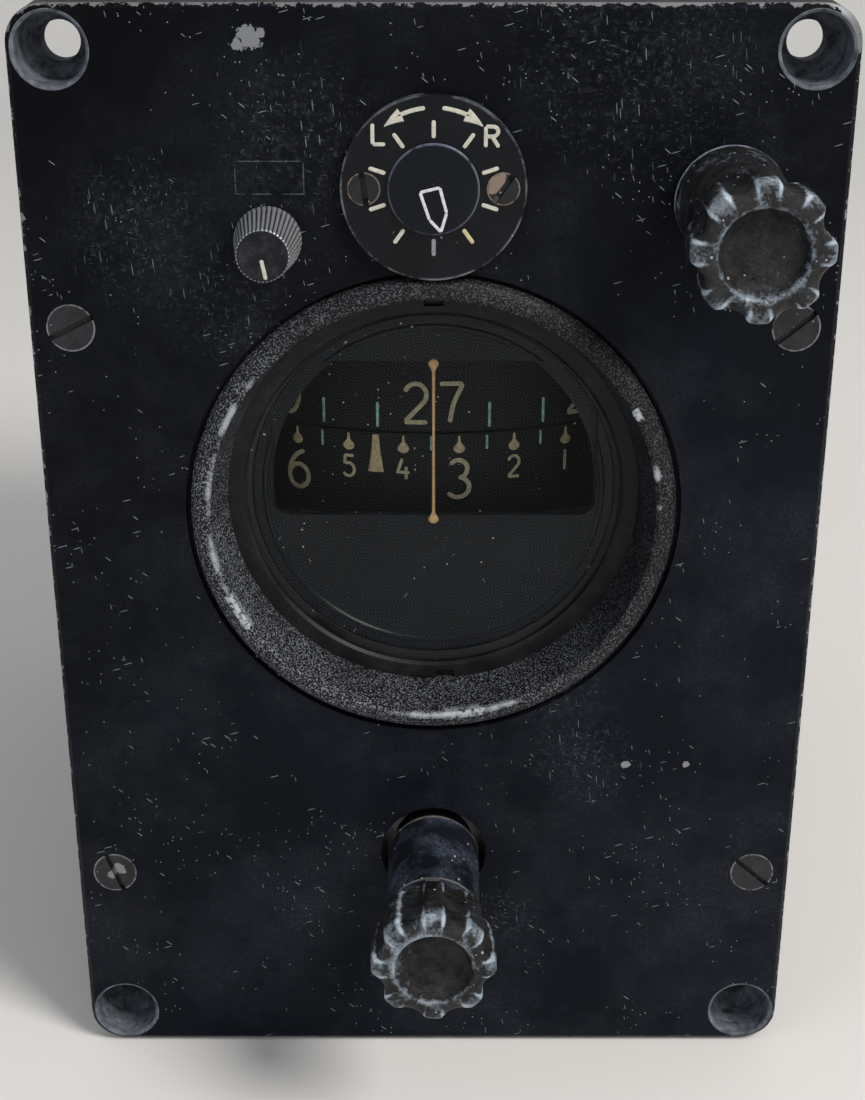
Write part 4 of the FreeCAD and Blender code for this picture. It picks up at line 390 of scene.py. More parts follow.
def panelScuffs(add, place):
    # wide pale scuffs: fine scratches inside soft round areas, dust in the corner holes, and the faint edge of
    # a bare label place: | max(|x - cx| - hx, |z - cz| - hz) | fading out from 0.05 to 0.12 mm
    flat = add("VectorMath MULTIPLY", {0: place, 1: (1, 0, 1)})
    total = softAreas(add, place, panelLook["scuffs"], 0.2)
    worn = cloud(add, place, 1.1, 0.52, 0.70, 7.0, 0.85)
    worn = add("Math MULTIPLY", {0: worn, 1: 0.24})
    for cell, angle, share in ((0.75, 12, 0.75), (0.95, 58, 0.6), (1.1, -35, 0.7), (0.85, -78, 0.65), (1.3, -5, 0.85)):
        stroke = flecks(add, place, cell, 0.19, 0.42, (0.32, 1, 3.8), (0, math.radians(angle), 0))
        stroke = add("Math MULTIPLY", {0: stroke, 1: share})
        worn = add("Math MAXIMUM", {0: worn, 1: stroke})
    total = add("Math MULTIPLY", {0: total, 1: worn})
    total = add("Math MULTIPLY", {0: total, 1: panelLook["scuffShare"]})
    hole = add("VectorMath ABSOLUTE", {0: flat})
    hole = add("VectorMath DISTANCE", {0: hole, 1: panelLook["holeAt"]}, out="Value")
    hole = add("Math LESS_THAN", {0: hole, 1: panelLook["holeRadius"]})
    dirt = cloud(add, place, 2.4, 0.25, 0.65, 4.0, 0.7)
    hole = add("Math MULTIPLY", {0: hole, 1: dirt})
    hole = add("Math MULTIPLY", {0: hole, 1: panelLook["holeDust"]})
    total = add("Math MAXIMUM", {0: total, 1: hole})
    cx, cz, hx, hz = panelLook["label"]
    off = add("VectorMath SUBTRACT", {0: flat, 1: (cx, 0, cz)})
    off = add("VectorMath ABSOLUTE", {0: off})
    off = add("VectorMath SUBTRACT", {0: off, 1: (hx, 1000, hz)})
    parts = add("SeparateXYZ", {0: off})
    edge = add("Math MAXIMUM", {0: parts, 1: parts.node.outputs[2]})
    edge = add("Math ABSOLUTE", {0: edge})
    edge = add("MapRange", {"Value": edge, "From Min": 0.12, "From Max": 0.05, "To Max": 0.4})
    faded = cloud(add, place, 2.5, 0.40, 0.58, 4.0, 0.7)
    edge = add("Math MULTIPLY", {0: edge, 1: faded})
    return add("Math MAXIMUM", {0: total, 1: edge})


panelEnamel = wornFinish("scuffedSatinEnamel", panelLook, panelWear, panelScuffs)

# Stoving enamel on the cast case: even, slightly pebbled satin black, dusty, with a few bare knocks
caseLook = {
    "paint": "#111214", "paintTwo": "#191a1d", "dust": "#6f7175", "hazeShare": 0.20, "hazeBase": 0.02,
    "hazeSize": 24.0, "grain": 0.9, "grainDepth": 0.05, "roughness": 0.46, "bare": "#94979a", "fleck": "#8d8f91",
    "fleckShare": 0.6, "shine": 0.35, "crowdSize": 26.0, "crowdLow": 0.46, "patch": 40.0,
    "flecks": [(1.8, 0.2, 0.4, (1, 1, 1), 0), (2.6, 0.14, 0.3, (0.5, 1, 3.2), 30),
        (3.0, 0.13, 0.3, (3.0, 1, 0.5), -20)],
}


def thinWear(size, low, high):
    # bare knocks: the peaks of a rough noise
    return lambda add, place: cloud(add, place, size, low, high, 6.0, 0.8)


caseEnamel = wornFinish("stovedCaseEnamel", caseLook, thinWear(5.0, 0.735, 0.75))

# Wrinkle enamel: baked until it shrinks into hard grains about half a millimetre across; grey on the crests
# and black in the hollows, painted as highlight and shade, lighter towards the left and bottom; handled bright along
# the crest of the ring
ringLook = {
    "paint": "#0a0b0d", "crest": "#8b9098", "bare": "#b3b8be", "grain": 0.29, "depth": 0.12, "roughness": 0.5,
    "shine": 0.18, "crestRadius": boxOf("bezel_ring")[1][0] - 2.95, "crestY": ringLow[1],
    "bareSpots": [(5.2, -24.2, 3.4), (-32.6, -4.6, 3.4), (33.0, 30.5, 1.2)],
    "handled": [(-36.0, 14.0, 20.0), (-32.0, 30.0, 9.0), (4.0, -24.0, 14.0), (36.0, 16.0, 7.0)],
}


def wrinkleEnamel():
    # crest highlight = noise stretched over its upper half, painted light that grows towards the left and bottom; worn
    # = crest line | r - R | < 1 mm, and a chipped foot
    material, add, place = startMaterial("wrinkleEnamelOnRing")
    fine = add("TexNoise", {"Vector": place, "Scale": 1 / ringLook["grain"], "Detail": 2.0, "Roughness": 0.5,
        "Distortion": 0.4})
    crest = add("MapRange", {"Value": fine, "From Min": 0.50, "From Max": 0.66})
    cover = cloud(add, place, 9.0, 0.25, 0.75)
    cover = add("MapRange", {"Value": cover, "To Min": 0.35, "To Max": 1.0})
    # painted light: the grain crests grow lighter towards the left and bottom
    side = add("VectorMath DOT_PRODUCT", {0: place, 1: (-0.8, 0, -0.6)}, out="Value")
    side = add("MapRange", {"Value": side, "From Min": -30.0, "From Max": 22.0, "To Min": 0.35, "To Max": 1.15})
    cover = add("Math MULTIPLY", {0: cover, 1: side})
    crest = add("Math MULTIPLY", {0: crest, 1: cover})
    colour = add("Mix", {0: crest, 6: linear(ringLook["paint"]), 7: linear(ringLook["crest"])}, **twoColours)
    off = offBy(add, radiusFrom(add, place, (windowX, 0, windowZ)), ringLook["crestRadius"])
    rub = add("MapRange", {"Value": off, "From Min": 1.0, "From Max": 0.1})
    y = add("SeparateXYZ", {0: place}, out=1)
    onTop = add("Math LESS_THAN", {0: y, 1: ringLook["crestY"] + 0.7})
    rub = add("Math MULTIPLY", {0: rub, 1: onTop})
    long = cloud(add, place, 7.0, 0.36, 0.56, 4.0, 0.6)
    rub = add("Math MULTIPLY", {0: rub, 1: long})
    rub = add("Math MULTIPLY", {0: rub, 1: softAreas(add, place, ringLook["handled"], 0.6)})
    peaks = add("Math ADD", {0: fine, 1: 0.62})
    rub = add("Math MULTIPLY", {0: rub, 1: peaks})
    rub = add("MapRange", {"Value": rub, "From Min": 0.30, "From Max": 1.0, "To Max": 0.85})
    band = add("MapRange", {"Value": off, "From Min": 0.85, "From Max": 0.45})
    bare = spots(add, place, ringLook["bareSpots"], 0.5)
    bare = add("Math MULTIPLY", {0: bare, 1: band})
    frayed = cloud(add, place, 0.9, 0.42, 0.50, 5.0, 0.7)
    bare = add("Math MULTIPLY", {0: bare, 1: frayed})
    outside = add("Math LESS_THAN", {0: y, 1: ringLook["crestY"] + 3.0})
    bare = add("Math MULTIPLY", {0: bare, 1: outside})
    rub = add("Math MAXIMUM", {0: rub, 1: bare})
    footLine = add("MapRange", {"Value": y, "From Min": ringHigh[1] - 0.55, "From Max": ringHigh[1] - 0.3})
    chipped = cloud(add, place, 1.8, 0.46, 0.56, 6.0, 0.8)
    footLine = add("Math MULTIPLY", {0: footLine, 1: chipped})
    footLine = add("Math MULTIPLY", {0: footLine, 1: 0.75})
    rub = add("Math MAXIMUM", {0: rub, 1: footLine})
    colour = add("Mix", {0: rub, 6: colour, 7: linear(ringLook["bare"])}, **twoColours)
    height = add("Math MULTIPLY", {0: fine, 1: ringLook["depth"]})
    flatTop = add("Mix", {0: rub, 2: height, 3: ringLook["depth"] * 0.55}, out=0)
    bump = add("Bump", {"Height": flatTop, "Distance": 0.001, "Strength": 1.0})
    metallic = add("Math MULTIPLY", {0: rub, 1: 0.6})
    shader = add("BsdfPrincipled", {"Base Color": colour, "Roughness": ringLook["roughness"], "Metallic": metallic,
        "Normal": bump, "Specular IOR Level": ringLook["shine"]})
    add("OutputMaterial", {"Surface": shader})
    return material


ringEnamel = wrinkleEnamel()

# Brushed semi-matt black on the turned inner parts: soft sheen on every rounded edge, dust in patches
maskLook = {
    "paint": "#080a0f", "paintTwo": "#0c1017", "dust": "#55575a", "hazeShare": 0.10, "hazeSize": 9.0, "grain": 0.3,
    "grainDepth": 0.002, "roughness": 0.32, "fleck": "#8f9193", "fleckShare": 0.5, "crowdSize": 9.0, "crowdLow": 0.50,
    "shine": 0.2, "flecks": [(1.1, 0.18, 0.4, (1, 1, 1), 0), (1.8, 0.14, 0.3, (0.5, 1, 2.6), 40)],
}
maskEnamel = wornFinish("semiMattInnerBlack", maskLook)

# The same black on the slotted retaining ring, which collects brownish dust and chips on its edges
retainerLook = dict(maskLook, paint="#0a0b0e", paintTwo="#101216", dust="#635f56", hazeShare=0.32, hazeSize=12.0,
    roughness=0.42, grain=0.5, grainDepth=0.03, bare="#a9adb2")
retainerEnamel = wornFinish("dustyRetainerBlack", retainerLook, thinWear(1.6, 0.70, 0.74))

# Dead-flat instrument black on the spun cards, so that only the marks catch the eye
cardLook = {
    "paint": "#070708", "paintTwo": "#0b0b0c", "dust": "#33332f", "shine": 0.2, "hazeShare": 0.10, "hazeSize": 12.0,
    "grain": 0.25, "grainDepth": 0.008, "roughness": 0.62, "fleck": "#8f8d84", "fleckShare": 0.5, "crowdSize": 9.0,
    "crowdLow": 0.5, "flecks": [(1.3, 0.14, 0.35, (1, 1, 1), 0)],
}
cardBlack = wornFinish("flatCardBlack", cardLook)

# Engraved face of the trim dial: smooth satin black laminate, edge rubbed grey
dialLook = {
    "paint": "#090a0e", "paintTwo": "#0e1116", "dust": "#5a5f68", "shine": 0.16, "hazeShare": 0.08, "hazeSize": 8.0,
    "grain": 0.3, "grainDepth": 0.006, "roughness": 0.36, "bare": "#7c8088", "bareMetallic": 0.3, "fleck": "#9da0a6",
    "fleckShare": 0.6, "crowdSize": 7.0, "crowdLow": 0.5,
    "flecks": [(1.2, 0.15, 0.3, (1, 1, 1), 0), (1.7, 0.12, 0.2, (0.4, 1, 2.8), 35)],
}


def rimWear(node, width, low, high, share=0.72):
    # bare along a disc's rim: radius over R - width on its front, broken up by a noise
    lowCorner, highCorner = boxOf(node)
    middle = (lowCorner + highCorner) / 2
    reach = (highCorner[0] - lowCorner[0]) / 2

    def mask(add, place):
        radius = radiusFrom(add, place, middle)
        rim = add("MapRange", {"Value": radius, "From Min": reach - width, "From Max": reach - width * 0.4})
        broken = cloud(add, place, 4.0, low, high, 5.0, 0.7)
        rim = add("Math MULTIPLY", {0: rim, 1: broken})
        return add("Math MULTIPLY", {0: rim, 1: share})
    return mask


dialBlack = wornFinish("engravedDialBlack", dialLook, rimWear("dial_plate", 0.38, 0.44, 0.62, 0.6))
# Glossier black on the pointer disc, blue-grey where its edge has rubbed
pointerLook = dict(dialLook, paint="#080b12", paintTwo="#0b1019", roughness=0.28, bare="#6a7080")
pointerBlack = wornFinish("glossPointerBlack", pointerLook, rimWear("dial_pointer", 0.35, 0.38, 0.52, 0.8))

# Screws painted over with the panel: black film, worn to grey steel on the high points
screwLook = {
    "paint": "#0f1013", "paintTwo": "#191b20", "dust": "#666a72", "shine": 0.35, "hazeShare": 0.28, "hazeSize": 5.0,
    "grain": 0.5, "grainDepth": 0.03, "roughness": 0.45, "bare": "#85888d", "fleck": "#b9bcc2", "fleckShare": 0.7,
    "crowdSize": 4.0, "crowdLow": 0.4, "headRadius": 3.85,
    "blobs": [(-56.2, -55.9, 1.0), (-57.5, -57.3, 0.8), (-55.4, -56.6, 0.5)],
    "flecks": [(0.9, 0.2, 0.5, (1, 1, 1), 0), (1.5, 0.14, 0.4, (0.5, 1, 2.6), 40)],
}


def headRims(add, place, node, headRadius, width, low, high):
    # a thin bright line round each head, worn paint and painted highlight: | distance to the head's middle - radius | <
    # width, broken by a noise; the heads stand at x = +-X and at the lowest and highest z of the node's box
    lowCorner, highCorner = boxOf(node)
    middle = (lowCorner + highCorner) / 2
    away = highCorner - middle - headRadius
    centred = add("VectorMath SUBTRACT", {0: place, 1: middle})
    centred = add("VectorMath ABSOLUTE", {0: centred})
    centred = add("VectorMath MULTIPLY", {0: centred, 1: (1, 0, 1)})
    gap = add("VectorMath DISTANCE", {0: centred, 1: (away[0], 0, away[2])}, out="Value")
    line = add("MapRange", {"Value": offBy(add, gap, headRadius - width), "From Min": width * 1.6, "From Max": width * 0.5})
    broken = cloud(add, place, 1.6, low, high, 5.0, 0.75)
    return add("Math MULTIPLY", {0: line, 1: broken})


def screwWear(add, place):
    # rubbed high points, a rim line that is worn paint and painted highlight, and two blobs of white paint on the lower
    # left head
    rubbed = thinWear(1.3, 0.64, 0.72)(add, place)
    rimWearAndHighlight = headRims(add, place, "panel_screws", screwLook["headRadius"], 0.12, 0.40, 0.56)
    rubbed = add("Math MAXIMUM", {0: rubbed, 1: rimWearAndHighlight})
    blobs = spots(add, place, screwLook["blobs"], 0.8)
    return add("Math MAXIMUM", {0: rubbed, 1: blobs})


screwPaint = wornFinish("overpaintedSteelScrew", screwLook, screwWear)
# The dial's screws have lost a flake of paint, down to a pinkish primer
dialScrewLook = dict(screwLook, paint="#0d0e12", paintTwo="#15171b", hazeShare=0.2, bare="#7d6d63", bareMetallic=0.1,
    headRadius=2.55, chips=[(9.5, 67.6, 1.15), (10.3, 68.3, 0.75), (8.9, 66.5, 0.7)])


def dialScrewWear(add, place):
    # paint chipped off the right head, and a broken bright line round both rims, worn paint and painted highlight
    chips = spots(add, place, dialScrewLook["chips"], 1.0)
    rimWearAndHighlight = headRims(add, place, "dial_screws", dialScrewLook["headRadius"], 0.10, 0.36, 0.52)
    rimWearAndHighlight = add("Math MULTIPLY", {0: rimWearAndHighlight, 1: 0.8})
    return add("Math MAXIMUM", {0: chips, 1: rimWearAndHighlight})


dialScrewPaint = wornFinish("chippedDialScrew", dialScrewLook, dialScrewWear)


def machinedMetal(name, look):
    # turned or drawn metal: colour and roughness from two noises, tarnish in soft patches
    material, add, place = startMaterial(name)
    tarnish = cloud(add, place, look.get("patch", 6.0), 0.38, 0.68, 5.0, 0.65)
    colour = add("Mix", {0: tarnish, 6: linear(look["metal"]), 7: linear(look["tarnish"])}, **twoColours)
    lines = add("Mapping", {"Vector": place, "Scale": look.get("lines", (1, 6, 1))})
    cut = add("TexNoise", {"Vector": lines, "Scale": look.get("lineScale", 1.2), "Detail": 4.0})
    roughness = add("MapRange", {"Value": cut, "From Min": 0.3, "From Max": 0.7, "To Min": look["roughness"] - 0.08,
        "To Max": look["roughness"] + 0.14})
    height = add("Math MULTIPLY", {0: cut, 1: look.get("depth", 0.012)})
    bump = add("Bump", {"Height": height, "Distance": 0.001, "Strength": 1.0})
    shader = add("BsdfPrincipled", {"Base Color": colour, "Roughness": roughness, "Metallic": look.get("metallic", 1.0),
        "Normal": bump})
    add("OutputMaterial", {"Surface": shader})
    return material


# Turned steel: cool grey with fine tool lines; plated screws are duller and yellower; brass is warm and
# patchy; cast and machined alloy is pale; drawn copper tube is red-brown
steel = machinedMetal("turnedSteel", {"metal": "#9b9c9e", "tarnish": "#6f6d6a", "roughness": 0.36})
zincSteel = machinedMetal("dullPlatedSteelScrew", {"metal": "#8f8f8c", "tarnish": "#5f5b54", "roughness": 0.42,
    "lines": (1, 1, 1), "lineScale": 2.0})
brass = machinedMetal("turnedBrass", {"metal": "#ab8d55", "tarnish": "#88693c", "roughness": 0.34, "patch": 11.0})
alloy = machinedMetal("machinedAluminiumAlloy", {"metal": "#b4b6b8", "tarnish": "#8b8c8c", "roughness": 0.40})
copper = machinedMetal("drawnCopperTube", {"metal": "#a4643f", "tarnish": "#5d3a28", "roughness": 0.38})

# Chloroprene sheet: dead black, faintly mottled and chalky
rubberLook = {"paint": "#1a1a1a", "paintTwo": "#212120", "dust": "#5a5a57", "hazeShare": 0.2, "grain": 0.6,
    "grainDepth": 0.02, "roughness": 0.78}
rubber = wornFinish("cutSheetRubber", rubberLook)


# the share of light that a face of the window lets through
glassLook = {"letThrough": 0.996, "dust": "#c6c3ba", "mirror": "#f1f4ff", "through": "#f6f8f8"}


def windowGlass():
    # Polished plate glass, bloomed against glare: each face throws back 0.4 % as a clean mirror image
    # and lets the rest straight through; a few dust specks and hairlines lie on it
    material, add, place = startMaterial("bloomedPlateGlass")
    dust = flecks(add, place, 1.9, 0.10, 0.5)
    crowd = cloud(add, place, 9.0, 0.47, 0.60, 2.0)
    hair = flecks(add, place, 2.6, 0.08, 0.45, (0.4, 1, 3.6), (0, math.radians(62), 0))
    hairTwo = flecks(add, place, 2.9, 0.07, 0.45, (0.4, 1, 3.2), (0, math.radians(-36), 0))
    marks = add("Math MAXIMUM", {0: dust, 1: hair})
    marks = add("Math MAXIMUM", {0: marks, 1: hairTwo})
    marks = add("Math MULTIPLY", {0: marks, 1: crowd})
    marks = add("Math MULTIPLY", {0: marks, 1: 0.6})
    clean = add("Math SUBTRACT", {0: 1.0, 1: marks})
    bright = add("Math LESS_THAN", {0: marks, 1: 0.1})
    colour = add("Mix", {0: bright, 6: linear(glassLook["dust"]), 7: linear(glassLook["mirror"])}, **twoColours)
    roughness = add("MapRange", {"Value": bright, "To Min": 0.8, "To Max": 0.02})
    surface = add("BsdfPrincipled", {"Base Color": colour, "Roughness": roughness, "Metallic": bright})
    through = add("BsdfTransparent", {"Color": linear(glassLook["through"])})
    shadow = add("LightPath", out="Is Shadow Ray")
    bloomed = add("Math MAXIMUM", {0: shadow, 1: glassLook["letThrough"]})
    bloomed = add("Math MULTIPLY", {0: bloomed, 1: clean})
    shader = add("MixShader", {0: bloomed, 1: surface, 2: through})
    add("OutputMaterial", {"Surface": shader})
    return material


glass = windowGlass()


def markPaint(name, colourHex, otherHex, roughness=0.55, patch=0.7):
    # hand-filled paint: thin in places, so a second tone shows through
    material, add, place = startMaterial(name)
    thin = cloud(add, place, patch, 0.35, 0.7, 4.0, 0.7)
    colour = add("Mix", {0: thin, 6: linear(colourHex), 7: linear(otherHex)}, **twoColours)
    grain = add("TexNoise", {"Vector": place, "Scale": 4.0, "Detail": 3.0})
    height = add("Math MULTIPLY", {0: grain, 1: 0.02})
    bump = add("Bump", {"Height": height, "Distance": 0.001, "Strength": 1.0})
    shader = add("BsdfPrincipled", {"Base Color": colour, "Roughness": roughness, "Normal": bump})
    add("OutputMaterial", {"Surface": shader})
    return material


# Lacquers that fill or coat the marks, each yellowed or greyed in its own way
tanPaint = markPaint("agedCreamMarkPaint", "#b9a47d", "#7f7158")
numberPaint = markPaint("agedNumeralPaint", "#b5a888", "#7f745b")
tealPaint = markPaint("agedTealTickPaint", "#8fb5b0", "#4f6f6d")
wirePaint = markPaint("creamLubberPaint", "#d2a873", "#b08a5c")
creamPaint = markPaint("creamEngravingFill", "#c9c8bc", "#a4a295")
greyPaint = markPaint("greyedEngravingFill", "#8e9095", "#6c6e74")
strawPaint = markPaint("yellowedEngravingFill", "#c8bf97", "#a69b74")
whitePaint = markPaint("whiteEngravingFill", "#d6d6e0", "#b0b1bc")

print("finishes made")


# Lobed knobs

knobLook = {
    "lobes": 8, "lobeCut": 3.4, "cutDepth": 1.35, "headRadius": 10.25, "headLength": 12.5, "sleeveRadius": 7.75,
    "skirtRadius": 8.7, "dishRadius": 6.25, "dishDepth": 2.3, "across": 320,
    "phases": {"rudder_knob": 22.5, "caging_knob": 22.5}, "black": "#08090c", "brown": "#17130e", "film": "#6b6e75",
    "chalkAndHighlight": "#8d9bab", "chalkAndHighlightTwo": "#b7c3cf", "dust": "#c9cbce",
}


def phenolic():
    # Phenolic moulding, once glossy black: grey and chalky on the lobe edges and front rim, partly finger wear and
    # partly painted highlight; brown in patches
    material, add, place = startMaterial("wornPhenolicMoulding")
    worn = add("Attribute", out="Fac", attribute_name="worn")
    broad = cloud(add, place, 3.0, 0.30, 0.70, 5.0, 0.7)
    fine = add("TexNoise", {"Vector": place, "Scale": 1.1, "Detail": 7.0, "Roughness": 0.72, "Distortion": 0.8})
    side = cloud(add, place, 9.0, 0.36, 0.64, 2.0)
    mixed = add("Math MULTIPLY_ADD", {0: broad, 1: 0.5, 2: worn})
    mixed = add("Math MULTIPLY_ADD", {0: side, 1: 0.45, 2: mixed})
    mixed = add("Math MULTIPLY_ADD", {0: fine, 1: 1.4, 2: mixed})
    # chalky grey where worn, and as painted highlight on the lobe edges
    wearAndHighlight = add("MapRange", {"Value": mixed, "From Min": 1.60, "From Max": 2.30})
    brown = cloud(add, place, 5.0, 0.46, 0.62)
    colour = add("Mix", {0: brown, 6: linear(knobLook["black"]), 7: linear(knobLook["brown"])}, **twoColours)
    film = cloud(add, place, 4.0, 0.35, 0.75, 6.0, 0.75)
    film = add("Math MULTIPLY", {0: film, 1: 0.22})
    colour = add("Mix", {0: film, 6: colour, 7: linear(knobLook["film"])}, **twoColours)
    tone = cloud(add, place, 2.2, 0.35, 0.65)
    chalkAndHighlight = add("Mix", {0: tone, 6: linear(knobLook["chalkAndHighlight"]), 7: linear(knobLook["chalkAndHighlightTwo"])}, **twoColours)
    colour = add("Mix", {0: wearAndHighlight, 6: colour, 7: chalkAndHighlight}, **twoColours)
    dust = flecks(add, place, 1.3, 0.2, 0.35)
    dust = add("Math MULTIPLY", {0: dust, 1: 0.6})
    colour = add("Mix", {0: dust, 6: colour, 7: linear(knobLook["dust"])}, **twoColours)
    roughness = add("MapRange", {"Value": wearAndHighlight, "To Min": 0.34, "To Max": 0.62})
    height = add("Math MULTIPLY", {0: fine, 1: 0.35})
    bump = add("Bump", {"Height": height, "Distance": 0.001, "Strength": 1.0})
    shader = add("BsdfPrincipled", {"Base Color": colour, "Roughness": roughness, "Normal": bump, "IOR": 1.6,
        "Specular IOR Level": 0.16})
    add("OutputMaterial", {"Surface": shader})
    return material


def lobedKnob(name, node, body, backLength, seed):
    # profile (r, y) from the dish to the back; lobes: r = d cos f - sqrt(c^2 - d^2 sin^2 f) inside each cut,
    # blended into the round by a smooth minimum and faded by the profile's share
    low, high = boxOf(node)
    centreX, centreZ, frontY = (low[0] + high[0]) / 2, (low[2] + high[2]) / 2, low[1]
    look = knobLook
    big, dish, deep = look["headRadius"], look["dishRadius"], look["dishDepth"]
    length, sleeve = look["headLength"], look["sleeveRadius"]
    # radius, depth behind the front, share of the lobes, share of the wear and painted highlight
    profile = np.array([
        (0.0, deep, 0, 0.0), (2.5, deep - 0.05, 0, 0.0), (4.6, deep - 0.2, 0, 0.05), (5.5, deep - 0.7, 0, 0.15),
        (6.0, 1.0, 0, 0.3), (dish, 0.45, 0, 0.5), (6.5, 0.12, 0, 0.7), (6.8, 0.0, 0.0, 0.55), (7.6, 0.06, 0.25, 0.4),
        (8.4, 0.12, 0.65, 0.6), (9.2, 0.22, 0.95, 0.85), (9.75, 0.45, 1, 1.05), (10.1, 0.9, 1, 1.1), (big, 1.7, 1, 1.0),
        (big, 3.2, 1, 0.55), (big - 0.05, 5.0, 1, 0.5), (big - 0.15, 6.8, 1, 0.5), (big - 0.3, 8.3, 0.98, 0.5),
        (big - 0.5, 9.8, 0.92, 0.6), (big - 0.75, 11.0, 0.85, 0.6), (big - 1.0, 11.8, 0.75, 0.7),
        (sleeve + 0.5, length - 0.1, 0.1, 0.6),
    ])
    if backLength > length:
        skirt = look["skirtRadius"]
        tail = [
            (sleeve + 0.15, length + 0.3, 0, 0.25), (sleeve + 0.1, length + 1.0, 0, 0.2),
            ((sleeve + skirt) / 2, (length + backLength) / 2, 0, 0.15), (skirt - 0.1, backLength - 1.6, 0, 0.35),
            (skirt - 0.05, backLength - 0.8, 0, 1.0), (skirt - 0.1, backLength - 0.15, 0, 1.3),
            (skirt - 0.4, backLength, 0, 0.8), (3.1, backLength, 0, 0),
        ]
    else:
        tail = [(sleeve - 0.3, length + 0.0, 0, 0.1), (3.1, length, 0, 0)]
    tail.append((3.1, deep + 1.5, 0, 0))
    tail.append((0.0, deep + 1.5, 0, 0))
    profile = np.concatenate([profile, tail])
    reach = np.concatenate([[0], np.cumsum(np.hypot(*np.diff(profile[:, :2], axis=0).T))])
    outerCount = 100
    t = np.unique(np.concatenate([np.linspace(0, reach[-1], outerCount), reach]))
    r, depth, share, rub = (np.interp(t, reach, profile[:, k]) for k in range(4))
    angle = np.linspace(0, 2 * np.pi, look["across"], endpoint=False)
    pitch = 2 * np.pi / look["lobes"]
    phase = math.radians(look["phases"][node])
    f = (angle - phase + pitch / 2) % pitch - pitch / 2
    cut = look["lobeCut"]
    away = big + cut - look["cutDepth"]
    root = np.clip(cut ** 2 - (away * np.sin(f)) ** 2, 0, None)
    inCut = np.where(root > 0, away * np.cos(f) - np.sqrt(root), big + 2.0)
    edge = 0.35
    both = -edge * np.log(np.exp(-inCut / edge) + np.exp(-big / edge))
    scale = both / big
    radius = r[:, None] * (1 + share[:, None] * (scale[None] - 1))
    # hand-worn dents: a sum of waves round and along the knob, each with a random height and shift
    generator = np.random.default_rng(seed)
    dents = np.zeros_like(radius)
    for k in range(1, 9):
        turnShift, depthShift = generator.uniform(0, 6.28, 2)
        dents += (generator.normal(0, 0.035) * np.sin(np.round(k * 1.5) * angle[None] + turnShift)
            * np.cos(depth[:, None] * 0.5 * k + depthShift))
    radius = radius * (1 + 0.16 * dents * share[:, None])
    x = centreX + radius * np.cos(angle)
    z = centreZ + radius * np.sin(angle)
    y = np.repeat((frontY + depth)[:, None], len(angle), axis=1) + 0.25 * dents * share[:, None]
    # chalky along both shoulders of each lobe, and over its whole top near the front: finger wear and painted highlight
    # on the lobe edges
    top = np.clip((both - big + 0.9) / 0.9, 0, 1)[None]
    shoulder = np.exp(-((both - big + 0.42) / 0.28) ** 2)[None]
    ahead = np.clip(1 - (depth[:, None] - 1.6) / 3.0, 0, 1)
    lobeWearAndHighlight = 0.15 + 1.05 * shoulder + 0.32 * top * ahead
    worn = rub[:, None] * (1 - share[:, None] + share[:, None] * lobeWearAndHighlight)
    piece = makePiece(name, [np.stack([x, y, z], -1)], knobMaterial, body, attribute=worn)
    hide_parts(node)


knobMaterial = phenolic()
courseLow, courseHigh = boxOf("rudder_knob")
lobedKnob("courseKnobMoulding", "rudder_knob", "course_knob", courseHigh[1] - courseLow[1], 3)
lobedKnob("cagingKnobMoulding", "caging_knob", "caging_spin", knobLook["headLength"], 8)
print("lobed knobs made")

# Caging sleeve

# Blackened brass tube: blue-black oxide with dusty bloom, bright along the worn ends and the notch
sleeveLook = {
    "paint": "#101116", "paintTwo": "#191b23", "dust": "#68748a", "hazeShare": 0.75, "hazeBase": 0.0, "hazeSize": 6.5,
    "grain": 0.5, "grainDepth": 0.02, "roughness": 0.34, "bare": "#b4b1a6", "bareRoughness": 0.45,
    "bareMetallic": 0.25, "shine": 0.3, "fleck": "#c3c9d2", "fleckShare": 0.75, "crowdSize": 6.0, "crowdLow": 0.42,
    "flecks": [(1.0, 0.22, 0.5, (1, 1, 1), 0), (1.6, 0.16, 0.45, (1, 2.4, 1), 0)],
}


def sleeveWear(add, place):
    # bright bands at the shoulder and at the outer end, broken by noise
    low, high = boxOf("caging_sleeve")
    y = add("SeparateXYZ", {0: place}, out=1)
    band = 0.0
    for at, width, share in ((low[1], 0.5, 0.9), (-12.9, 1.3, 1.0), (low[1] + 2.2, 0.35, 0.35)):
        one = add("MapRange", {"Value": offBy(add, y, at), "From Min": width, "From Max": width * 0.3, "To Max": share})
        band = add("Math MAXIMUM", {0: band, 1: one})
    broken = cloud(add, place, 3.0, 0.30, 0.50, 5.0, 0.7)
    return add("Math MULTIPLY", {0: band, 1: broken})


sleeveFinish = wornFinish("blackenedBrassSleeve", sleeveLook, sleeveWear)

# Knurled trim knob

trimLook = {
    "ridges": 40, "ridge": 0.34, "base": 5.25, "top": 4.05, "height": 10.1, "across": 40 * 14, "slant": -0.10,
    "groove": "#1a1b1e", "ridgeHighlight": "#b4b8bd", "index": [(-25.7, 58.0), (-25.1, 54.95)], "indexHalf": 0.30,
}


